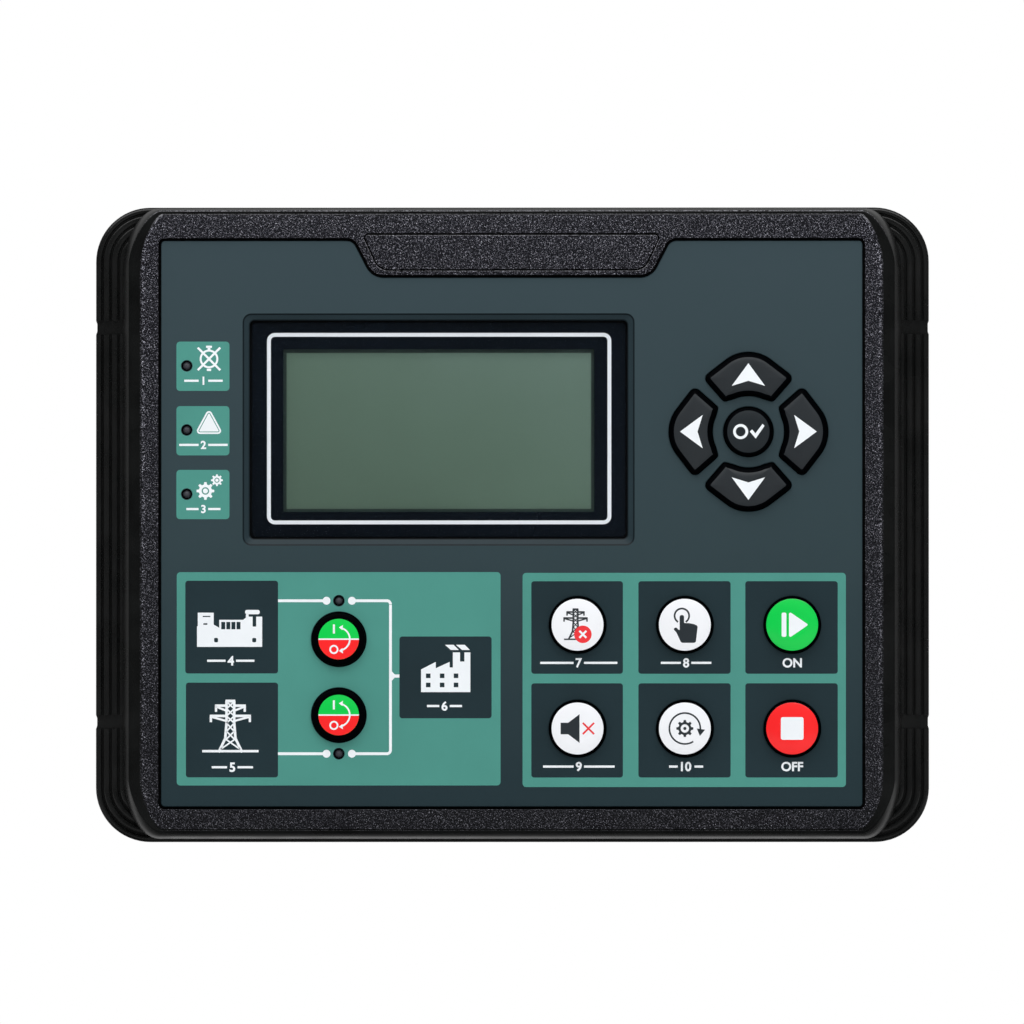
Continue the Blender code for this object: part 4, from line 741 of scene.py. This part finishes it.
def add_raised_frame(shell):
    """The raised frame, the recess for the face panel, the pocket of the name insert and the front wall."""
    outlines = [frame_outline(*step[:6]) for step in FRAME_STEPS]
    shell.skin([(outline, FRAME_FRONT + step[6]) for outline, step in zip(outlines, FRAME_STEPS)])
    opening = opening_outline()
    pocket = insert_outline(0.35)
    pocket_floor = INSERT_BACK + 0.3
    edge = 0.12
    broken = inset(opening, -edge)
    pocket_broken = inset(pocket, -edge)
    shell.sheet([outlines[-1], broken, pocket_broken], FRAME_FRONT)
    shell.skin([(broken, FRAME_FRONT), (inset(opening, -0.3 * edge), FRAME_FRONT + 0.3 * edge),
                (opening, FRAME_FRONT + edge)])
    # Slot 1, on the walls and floors below the front, is the darker black of painted shade.
    shell.skin([(opening, FRAME_FRONT + edge), (opening, SEAT)], 1)
    shell.skin([(pocket_broken, FRAME_FRONT), (pocket, FRAME_FRONT + edge)])
    shell.skin([(pocket, FRAME_FRONT + edge), (pocket, pocket_floor)], 1)
    shell.sheet([pocket], pocket_floor, 1)

    holes = wall_holes()
    lens_pocket = box_at(*DISPLAY, *LENS_POCKET)
    view = box_at(*DISPLAY, 86.5, 46.4, 1.2)
    shell.sheet([opening, lens_pocket] + holes, SEAT, 1)
    shell.skin([(lens_pocket, SEAT), (lens_pocket, LENS_SEAT), (view, LENS_SEAT), (view, WALL_BACK)], 1)
    for hole in holes:
        shell.skin([(hole, SEAT), (hole, WALL_BACK)], 1)
    half_width, half_height, corner = CAVITY
    grow = 0.03
    cavity = box_at(0, 0, 2 * (half_width + grow), 2 * (half_height + grow), corner)
    back = FRAME_FRONT + FRAME_STEPS[0][6]
    shell.sheet([cavity, view] + holes, WALL_BACK)
    shell.skin([(cavity, WALL_BACK), (cavity, back)])
    shell.sheet([outlines[0], cavity], back)


def add_bosses(shell):
    """The bosses inside the bezel for the case screws and the front board's screws, with their pilot holes."""
    places = [(side * CASE_SCREWS[0], level * CASE_SCREWS[1], 3.4, 2.0, 9.8) for side in (-1, 1) for level in (-1, 1)]
    places += [(side * x, z, 2.8, -7.3, 3.9) for side in (-1, 1) for x, z in BOARD_SCREWS]
    for x, z, radius, end, depth in places:
        section = ((radius, WALL_BACK - 0.5), (radius, end - 0.2), (radius - 0.2, end), (PILOT_RADIUS, end),
                   (PILOT_RADIUS, end - depth))
        shell.skin([(circle(around, x, z, 32), y) for around, y in section], closed=True)


def make_bezel():
    shell = Prints(materials=(BEZEL, RECESS_PAINTED_SHADE))
    add_ribs(shell)
    add_raised_frame(shell)
    add_bosses(shell)
    bezel = shell.piece("bezel_moulding", HOUSING)
    clean(bezel)
    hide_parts("front_bezel")

    levels = ((0.0, INSERT_BACK), (0.0, FRAME_FRONT + 0.26), (0.06, FRAME_FRONT + 0.10), (0.16, FRAME_FRONT + 0.03),
              (0.32, FRAME_FRONT))
    points, faces = join_up([ring(insert_outline(-drawn), y) for drawn, y in levels], closed=True)
    plate = make_object("name_insert_blank", points, faces, [BEZEL])
    clean(plate)
    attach(plate, HOUSING)
    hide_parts("name_insert")


# Face panel

def make_face_panel():
    outline = inset(opening_outline(), 0.7)
    drawn = inset(outline, EDGE_BREAK)
    holes = [(hole, inset(hole, -EDGE_BREAK)) for hole in wall_holes()]
    bevel_outer = box_at(*DISPLAY, 98.7, 58.5, 2.2)
    bevel_step = inset(bevel_outer, 0.4)
    bevel_inner = box_at(*DISPLAY, *LENS_POCKET)
    lip = inset(bevel_inner, -0.25)
    face, bevel, edge = range(3)
    panel = Prints(materials=(FACE, BEVEL, BEVEL_EDGE))
    panel.sheet([drawn] + [wide for _, wide in holes] + [bevel_outer], FACE_FRONT, face)
    panel.skin([(drawn, FACE_FRONT), (outline, FACE_FRONT + EDGE_BREAK), (outline, FACE_BACK)], face)
    for hole, wide in holes:
        panel.skin([(hole, FACE_BACK), (hole, FACE_FRONT + EDGE_BREAK), (wide, FACE_FRONT)], face)
    panel.skin([(bevel_inner, FACE_BACK), (bevel_inner, LENS_FRONT + 0.1), (lip, LENS_FRONT)], edge)
    panel.skin([(lip, LENS_FRONT), (bevel_step, FACE_FRONT + 0.25)], bevel)
    panel.skin([(bevel_step, FACE_FRONT + 0.25), (bevel_outer, FACE_FRONT)], edge)
    piece = panel.piece("face_panel_printed", HOUSING)
    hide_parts("face_panel")


# Prints on the face panel

def legend(prints, text, x, z, width, height=2.4):
    """A plain number between two short bars."""
    prints.write(text, height, x, z)
    bar = (width - height * 0.68 * len(text)) / 2 - 0.5
    for side in (-1, 1):
        prints.mark(box_at(x + side * (width - bar) / 2, z, bar, 0.55))


def draw_dial(prints):
    """A struck-out round dial with a knob above and a foot below."""
    prints.mark(circle(2.35, segments=40), circle(1.85, segments=40))
    for shape in ((0, 3.05, 1.5, 0.55, 0.1), (0, 2.6, 0.7, 0.6), (0, -2.75, 1.1, 0.6, 0.1)):
        prints.mark(box_at(*shape))
    prints.mark(cross(0, 0, 4.0, 0.55), lift=0.3)


def draw_triangle(prints):
    """A framed triangle."""
    outer = rounded([(3.6, -2.75, 0.8), (0, 3.9, 0.8), (-3.6, -2.75, 0.8)])
    prints.mark(outer, inset(outer, 0.42))
    prints.mark(inset(outer, 0.62))


def draw_gears(prints):
    """Two gears."""
    for x, z, radius in ((-0.9, -0.95, 2.25), (2.0, 1.75, 1.5)):
        prints.mark(moved(gear(radius, radius * 0.74), x, z), circle(radius * 0.42, x, z, 24))
        prints.mark(circle(radius * 0.28, x, z, 24))


def draw_pylon(prints, x, z, height, y, material, weight):
    """A lattice mast with two cross arms."""
    unit = height / 10
    width = 0.42 * unit * weight

    def bar(start, end, thick=1.0):
        place = [(x + point_x * unit, z + point_z * unit) for point_x, point_z in (start, end)]
        prints.add([line(*place, width * thick)], y, material)

    for side in (-1, 1):
        bar((side * 0.75, 5.0), (side * 0.75, 0.6))
        bar((side * 0.75, 0.7), (side * 1.0, -2.4))
        bar((side * 1.0, -2.3), (side * 2.3, -5.0))
        for arm, reach in ((4.1, 3.0), (2.1, 4.0)):
            bar((side * 0.7, arm), (side * reach, arm))
            bar((side * 0.7, arm - 1.0), (side * reach, arm - 0.1), 0.8)
            bar((side * (reach - 0.2), arm + 0.1), (side * (reach - 0.2), arm - 1.2), 0.9)
        for low, high in ((0.7, 2.1), (2.1, 3.5), (3.5, 4.9), (-0.9, 0.7), (-2.4, -0.9)):
            bar((-side * 0.75, low), (side * 0.75, high), 0.6)
        bar((side * 1.9, -4.4), (-side * 0.95, -2.4), 0.6)
    bar((-0.95, 5.0), (0.95, 5.0), 1.1)


def draw_generator(prints):
    """A generating set on its base: cabinet, engine with louvres, and a round silencer on a pipe."""
    base = [(8.2, -4.6), (8.2, 3.0), (6.7, 3.0), (6.7, 0.5), (5.8, 0.5), (5.8, 3.0), (4.4, 3.0), (3.4, 2.2),
            (-2.6, 2.2), (-2.6, 0.2), (-4.0, 1.0), (-4.0, 4.0), (-8.0, 4.0), (-8.0, 0.6), (-8.2, 0.6), (-8.2, -4.6)]
    holes = [box_at(-1.6 + 1.28 * step, 0.75, 1.0, 1.85) for step in range(4)]
    holes += [box_at(x, -2.9, 1.0, 1.1, 0.3) for x in (-3.4, 6.2)]
    holes += [box_at(-6.1, 1.15, 1.0, 0.4), box_at(-5.8, 3.05, 1.9, 0.28)]
    prints.mark(base, *holes)
    prints.mark(box(3.9, 7.6, 3.6, 4.7, 0.5))
    prints.mark(box(4.1, 4.8, 2.6, 3.8))


def draw_works(prints):
    """A works with a saw-tooth roof, a chimney block and windows."""
    base = [(6.2, -5.0), (6.2, 5.0), (4.7, 5.0), (4.7, 2.7), (3.6, 2.7), (3.6, 5.0), (1.8, 5.0), (1.8, 1.2), (1.0, 1.2),
            (1.0, 2.6), (-2.5, 1.0), (-2.5, 2.6), (-6.2, 0.7), (-6.2, -5.0)]
    prints.mark(base, *[box_at(x, z, 1.15, 1.15) for z in (-0.9, -3.2) for x in (-4.4, -0.9, 2.6)])
    for start in (-0.4, 2.4):
        prints.mark([(start + 1.7, 5.6), (start + 3.7, 5.6), (start + 2.4, 6.9), (start + 0.2, 6.9)])


def draw_at(prints, draw, x, z):
    prints.origin = (x, 0.0, z)
    draw(prints)
    prints.origin = (0.0, 0.0, 0.0)


def print_status(prints):
    """The green tiles beside the display, each with its lamp's hole."""
    for number, (middle, width, draw) in enumerate(
            ((39.7, 9.7, draw_dial), (23.45, 12.2, draw_triangle), (7.4, 8.6, draw_gears)), 1):
        x, z = LAMPS[f"status_lamp_{number}"]
        tile = box(-84.4, -71.05, middle - 6.25, middle + 6.15, 0.9)
        prints.add([tile, circle(LAMP_HOLE + EDGE_BREAK, x, z, 32)], GREEN_LEVEL, GREEN, FACE_FRONT)
        draw_at(prints, draw, x + 5.6, z + 1.75)
        legend(prints, str(number), -77.6, z - 3.75, width, 2.1)


def print_line_picture(prints):
    """The single-line picture: generating set, mast and works with the two switches between them."""
    tiles = [box(-82.15, -58.8, -37.7, -14.35, 0.7), box(-82.0, -58.8, -63.85, -40.0, 0.7),
             box(-28.25, -5.05, -49.0, -28.4, 0.7)]
    cut_outs = tiles + [circle(SWITCH_RADIUS + KEY_GAP + EDGE_BREAK, x, z) for x, z in SWITCHES.values()]
    cut_outs += [circle(LAMP_HOLE + EDGE_BREAK, *LAMPS[name], 32) for name in ("generator_lamp", "mains_lamp")]
    prints.add([box(-84.3, -2.8, -65.9, -12.2, 0.9)] + cut_outs, GREEN_LEVEL, GREEN, FACE_FRONT)
    for tile in tiles:
        prints.add([tile], GREEN_LEVEL, DARK)
    draw_at(prints, draw_generator, -71.0, -26.4)
    draw_pylon(prints, -70.8, -51.1, 12.9, WHITE_LEVEL, WHITE, 1.2)
    prints.mark(box_at(-70.8, -57.25, 14.2, 0.6))
    draw_at(prints, draw_works, -16.6, -37.4)
    legend(prints, "4", -70.7, -34.5, 11.9)
    legend(prints, "5", -70.3, -61.3, 10.4)
    legend(prints, "6", -16.9, -45.9, 8.8)

    wire = 0.7
    bend = 0.9
    bus_x = -30.5
    branch_z = -38.35
    for name, level in (("generator_lamp", 1), ("mains_lamp", -1)):
        z = LAMPS[name][1]
        prints.mark(box(-58.8, -46.6, z - wire / 2, z + wire / 2))
        for dot in (-46.6, -40.2):
            prints.mark(circle(1.0, dot, z, 24), lift=0.3)
        prints.mark(box(-40.2, bus_x - 0.6, z - wire / 2, z + wire / 2))
        prints.mark(moved(arc(bend, wire, level * 90, 0, 8), bus_x - bend, z - level * bend), lift=0.15)
    prints.mark(box(bus_x - wire / 2, bus_x + wire / 2, LAMPS["mains_lamp"][1] + 0.8, LAMPS["generator_lamp"][1] - 1.0))
    prints.mark(box(bus_x, -28.25, branch_z - 0.4, branch_z + 0.4), lift=0.15)
    prints.mark(moved([(0.3, -1.2), (1.5, 0), (0.3, 1.2)], bus_x, branch_z), lift=0.3)


def print_round_keys(prints):
    """The green field of the round keys with a dark cell round each of them."""
    cells = [box(left, right, low, high, 0.7) for low, high in ((-37.8, -14.5), (-63.9, -40.2))
             for left, right in ((4.95, 28.0), (31.9, 55.1), (58.8, 82.05))]
    prints.add([box(2.75, 84.1, -66.3, -12.4, 0.9)] + cells, GREEN_LEVEL, GREEN, FACE_FRONT)
    for cell, (_, x, z) in zip(cells, ROUND_KEYS):
        prints.add([cell, circle(ROUND_RADIUS + KEY_GAP + EDGE_BREAK, x, z)], GREEN_LEVEL, DARK)
    texts = {"test_key": ("7", 19.4), "manual_key": ("8", 12.7), "start_key": ("ON", 0), "mute_key": ("9", 18.0),
             "auto_key": ("10", 8.6), "stop_key": ("OFF", 0)}
    for name, x, z in ROUND_KEYS:
        text, width = texts[name]
        if width:
            legend(prints, text, x + 0.3, z - 9.55, width)
        else:
            prints.write(text, 2.4, x, z - 9.55)


def make_face_prints():
    prints = Prints()
    print_status(prints)
    print_line_picture(prints)
    print_round_keys(prints)
    prints.piece("face_prints", HOUSING)


# Display

def make_display():
    level = LENS_BACK + 0.08
    prints = Prints()
    prints.add([box_at(*DISPLAY, 93.9, 53.8, 1.0), box_at(DISPLAY[0], 23.5, 78.3, 41.0, 0.2)], level, BORDER, level + 0.1)
    frame_line = box_at(-18.3, 24.0, 86.7, 48.2, 2.0, 10)
    prints.add([frame_line, inset(frame_line, 0.96)], level - PRINT, LENS_LINE, level)
    prints.piece("lens_border", HOUSING)

    prints = Prints()
    prints.add([box_at(DISPLAY[0], 23.45, 76.7, 39.3, 0.15)], GLASS_FRONT - PRINT, LCD, GLASS_FRONT)
    prints.piece("lcd_field", HOUSING)


# Keys

def turned(name, levels, x, z, materials, slots, segments=64):
    """A form turned about a line along Y from (radius, y) pairs, closed at the front centre."""
    points, faces = join_up([ring(circle(radius, x, z, segments), y) for radius, y in levels])
    centre = len(points)
    faces += [(index, centre, (index + 1) % segments) for index in range(segments)]
    face_slots = [slot for slot in slots + slots[:1] for _ in range(segments)]
    return make_object(name, points + [(x, levels[0][1], z)], [tuple(reversed(face)) for face in faces], materials,
                       face_slots, 50)


def key_levels(radius, face_radius):
    """A flat face whose shoulder rolls over to the side, the lip behind the wall and the stem."""
    shoulder = radius - face_radius
    roll = [(radius - shoulder * (1 - math.sin(angle)), KEY_CROWN + 0.62 * (1 - math.cos(angle)))
            for angle in (math.radians(step * 15) for step in range(1, 7))]
    stem = 2.8
    return [
        (0.5 * face_radius, KEY_CROWN), (face_radius, KEY_CROWN), (face_radius + 0.01, KEY_CROWN + 0.005), *roll,
        (radius, LIP_FRONT), (radius + KEY_LIP, LIP_FRONT), (radius + KEY_LIP, LIP_BACK), (stem, LIP_BACK),
        (stem, STEM_END), (0.2, STEM_END),
    ]


def print_test(prints):
    draw_pylon(prints, -0.5, 0.1, 7.6, KEY_PRINT, INK, 1.3)
    prints.add([line((-3.4, -3.65), (2.0, -3.65), 0.36)], KEY_PRINT, INK)
    badge = (1.35, -2.4)
    prints.add([circle(2.2, *badge, 32)], KEY_OVERPRINT, RED_INK)
    prints.add([cross(*badge, 1.25, 0.5)], KEY_OVERPRINT * 1.3, WHITE)


def print_manual(prints):
    prints.add([moved(arc(1.83, 0.44, -58, 238), -0.75, 2.25)], KEY_PRINT, INK)
    hand = rounded([
        (3.25, -0.3, 0.5), (2.3, 0.15, 0.2), (1.1, 0.4, 0.2), (-0.2, 0.45, 0.2), (-0.2, 2.45, 0.5), (-1.3, 2.45, 0.5),
        (-1.3, -1.5, 0.15), (-2.2, -0.65, 0.3), (-2.95, -1.0, 0.3), (-2.1, -2.0, 0.3), (-0.9, -4.55, 0.6),
        (2.75, -4.55, 0.6)])
    prints.add([hand], KEY_PRINT, INK)


def print_start(prints):
    prints.add([box_at(-2.05, 0, 1.2, 6.1, 0.4)], KEY_PRINT, WHITE)
    prints.add([rounded([(4.1, 0, 0.3), (-0.8, 3.35, 0.35), (-0.8, -3.35, 0.35)])], KEY_PRINT, WHITE)


def print_mute(prints):
    speaker = [(0.5, 3.6), (-2.35, 1.45), (-4.25, 1.45), (-4.25, -1.45), (-2.35, -1.45), (0.5, -3.6)]
    prints.add([speaker], KEY_PRINT, INK)
    prints.add([cross(2.75, 0, 2.0, 0.45)], KEY_PRINT, RED_INK)


def print_auto(prints):
    prints.add([gear(2.15, 1.65), circle(1.05, segments=24)], KEY_PRINT, INK)
    prints.add([circle(0.4, segments=16)], KEY_PRINT, INK)
    prints.add([arc(3.9, 0.42, -10, 303)], KEY_PRINT, INK)
    head = rotated([(-1.05, 0.65), (0, -1.1), (1.05, 0.65)], math.radians(-8))
    prints.add([moved(head, 3.95, -0.8)], KEY_PRINT, INK)


def print_stop(prints):
    prints.add([box_at(0, 0, 5.7, 5.7, 0.5)], KEY_PRINT, WHITE)


def print_switch(prints):
    half = [(SWITCH_FACE * math.cos(math.radians(angle)), SWITCH_FACE * math.sin(math.radians(angle)))
            for angle in range(-180, 1, 6)]
    prints.add([half], KEY_PRINT, RED_CAP)
    prints.add([box_at(0, 0, 10.15, 0.36)], KEY_OVERPRINT, WHITE)
    prints.add([box_at(-1.2, 2.55, 0.5, 2.3)], KEY_OVERPRINT, WHITE)
    prints.add([circle(1.15, -1.2, -2.6, 24), circle(0.72, -1.2, -2.6, 24)], KEY_OVERPRINT, WHITE)
    prints.add([moved(arc(2.9, 0.42, -72, 72), -0.1, 0)], KEY_OVERPRINT * 1.2, WHITE)
    for level in (1, -1):
        head = [(0.05, level * 2.95), (1.1, level * 3.6), (0.95, level * 2.25)]
        prints.add([head[::level]], KEY_OVERPRINT * 1.2, WHITE)


def print_centre(prints):
    prints.add([circle(1.9, -1.95, 0, 40), circle(1.22, -1.95, 0, 40)], KEY_PRINT, WHITE)
    tick = [(0.35, 0.0), (0.95, 0.55), (1.75, -0.45), (3.55, 1.95), (4.05, 1.45), (1.85, -1.75)]
    prints.add([tick], KEY_PRINT, WHITE)


def make_round_keys():
    looks = {
        "test_key": (WHITE_CAP, "key_white", print_test), "manual_key": (WHITE_CAP, "key_white", print_manual),
        "start_key": (GREEN_CAP, "key_green", print_start), "mute_key": (WHITE_CAP, "key_white", print_mute),
        "auto_key": (WHITE_CAP, "key_white", print_auto), "stop_key": (RED_CAP, "key_red", print_stop),
        "generator_switch_key": (GREEN_CAP, "key_green", print_switch),
        "mains_switch_key": (GREEN_CAP, "key_green", print_switch),
        "centre_key": (CENTRE_CAP, "key_grey", print_centre),
    }
    places = [(name, x, z, ROUND_RADIUS, 6.1, 4) for name, x, z in ROUND_KEYS]
    places += [(name, x, z, SWITCH_RADIUS, SWITCH_FACE, 2) for name, (x, z) in SWITCHES.items()]
    places.append(("centre_key", *ARROWS, CENTRE_RADIUS, 5.3, 2))
    for name, x, z, radius, face_radius, coloured in places:
        cap, slot_name, draw = looks[name]
        levels = key_levels(radius, face_radius)
        body = name.replace("_key", "_button")
        slots = [0] * coloured + [1] * (len(levels) - 1 - coloured)
        piece = turned(name + "_cap", levels, x, z, [cap, BLACK_CAP], slots)
        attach(piece, body)
        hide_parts(name)
        prints = Prints((x, KEY_CROWN, z))
        draw(prints)
        prints.piece(name + "_print", body)


def make_arrow_keys():
    outline = inset(arrow_key_outline(), KEY_GAP)
    lip = inset(arrow_key_outline(), KEY_GAP - KEY_LIP)
    inner = inset(outline, 1.05)
    middle = 13.6

    def drawn_in(share):
        return [(x * share, middle + (z - middle) * share) for x, z in inner]

    levels = [(drawn_in(0.05), 0.0), (drawn_in(0.3), 0.01), (drawn_in(0.6), 0.07), (drawn_in(0.85), 0.2), (inner, 0.36),
              (inset(outline, 0.75), 0.52), (inset(outline, 0.25), 0.78), (inset(outline, 0.08), 1.05), (outline, 1.35)]
    levels = [(source, KEY_CROWN + drop) for source, drop in levels]
    levels += [(outline, LIP_FRONT), (lip, LIP_FRONT), (lip, LIP_BACK)]
    grey_levels = 4
    arrow = [(0, 17.2), (-4.2, 11.5), (0, 12.8), (4.2, 11.5)]
    for name, turn in (("up_key", 0), ("left_key", 1), ("down_key", 2), ("right_key", 3)):
        def placed(source):
            return moved(rotated(source, math.pi / 2 * turn), *ARROWS)

        points, faces = join_up([ring(placed(source), y) for source, y in levels], closed=True)
        slots = [int(level >= grey_levels) for level in range(len(levels) - 1) for _ in outline] + [0, 1]
        piece = make_object(name + "_cap", points, [tuple(reversed(face)) for face in faces], [GREY_CAP, BLACK_CAP],
                            slots, 50)
        body = name.replace("_key", "_button")
        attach(piece, body)
        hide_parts(name)
        prints = Prints()
        prints.add([placed(arrow)], KEY_CROWN + KEY_OVERPRINT, WHITE)
        prints.piece(name + "_print", body)


def make_lamps():
    dome = ((0.3, 0.03), (0.6, 0.15), (0.88, 0.42), (1.0, 0.75), (1.04, 1.04))
    foot = [(1.04, -8.3), (1.6, -8.3), (1.6, -7.3), (0.1, -7.3)]
    for name, (x, z) in LAMPS.items():
        tip = depths(name)[0]
        levels = [(radius, tip + drop) for radius, drop in dome] + foot
        piece = turned(name + "_lens", levels, x, z, [LAMP_LENS], [0] * (len(levels) - 1), 32)
        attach(piece, HOUSING)
        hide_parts(name)


make_bezel()
make_face_panel()
make_face_prints()
make_display()
make_round_keys()
make_arrow_keys()
make_lamps()


# Floor, lights and camera, in metres

def area_light(name, place, target, width, height, power, mirrored):
    light = bpy.data.lights.new(name, "AREA")
    light.shape = "RECTANGLE"
    light.size = width
    light.size_y = height
    light.energy = power
    holder = bpy.data.objects.new(name, light)
    holder.location = place
    holder.rotation_euler = (Vector(target) - Vector(place)).to_track_quat("-Z", "Y").to_euler()
    holder.visible_glossy = mirrored
    bpy.context.scene.collection.objects.link(holder)


def make_floor():
    material, tree, shader = node_material("floor_pale")
    tree.fill(shader, {"Base Color": (0.82, 0.82, 0.82, 1.0), "Roughness": 0.9})
    reach = 4 / MM
    level = -0.30 / MM
    floor = make_object("floor", [(-reach, -reach, level), (reach, -reach, level), (reach, reach, level),
                                  (-reach, reach, level)], [(0, 1, 2, 3)], [material])
    floor.visible_glossy = False


def make_world():
    """White to the camera, an even light to dull surfaces and a dim studio in reflections."""
    world = bpy.data.worlds.new("studio")
    bpy.context.scene.world = world
    tree = Tree(world)
    rays = tree.add("LightPath", {})
    direction = tree.split(tree.place("Generated"))
    above = tree.product(tree.spread(direction["Y"], 0.05, 0.34, -0.1, 0.6),
                         tree.spread(direction["Z"], 0.3, 1.0, 0.0, 0.3))
    below = tree.ramp(tree.spread(direction["Z"], 0.0, 1.0, -1.0, 0.0), (0.50, 0.03), (0.68, 0.38), (0.85, 0.38),
                      (1.0, 0.0))
    lit = tree.mix("FLOAT", rays["Is Glossy Ray"], 0.32, tree.math("ADD", above, below))
    seen = tree.math("MAXIMUM", rays["Is Camera Ray"], rays["Is Transmission Ray"])
    tree.fill(tree.tree.nodes["Background"], {"Color": (1.0, 1.0, 1.0, 1.0), "Strength": tree.mix("FLOAT", seen, lit, 1.0)})


def make_camera():
    distance = 7.0
    azimuth = math.radians(0.8)
    elevation = math.radians(-1.2)
    pixel = 0.2519 * MM
    picture = 1024
    middle = Vector((0.0, -9.0 * MM, 0.0))
    away = Vector((math.sin(azimuth) * math.cos(elevation), -math.cos(azimuth) * math.cos(elevation),
                   math.sin(elevation)))
    camera = bpy.data.cameras.new("camera")
    camera.sensor_width = 36.0
    camera.lens = camera.sensor_width * distance / (picture * pixel)
    camera.clip_end = 20
    camera.shift_y = (524.15 - picture / 2) / picture
    holder = bpy.data.objects.new("camera", camera)
    holder.location = middle + away * distance
    holder.rotation_euler = (-away).to_track_quat("-Z", "Y").to_euler()
    bpy.context.scene.collection.objects.link(holder)
    bpy.context.scene.camera = holder


make_floor()
make_world()
area_light("key_light", (-0.1, -0.62, 0.85), (0, 0, 0.02), 1.6, 0.8, 9.0, True)
area_light("fill_light", (0.4, -1.5, 0.2), (0, 0, 0), 0.9, 0.9, 7.4, False)
area_light("back_light", (0.4, 1.2, 0.9), (0, 0, 0), 0.8, 0.8, 9.0, False)
make_camera()
bpy.context.scene.view_settings.view_transform = "Standard"
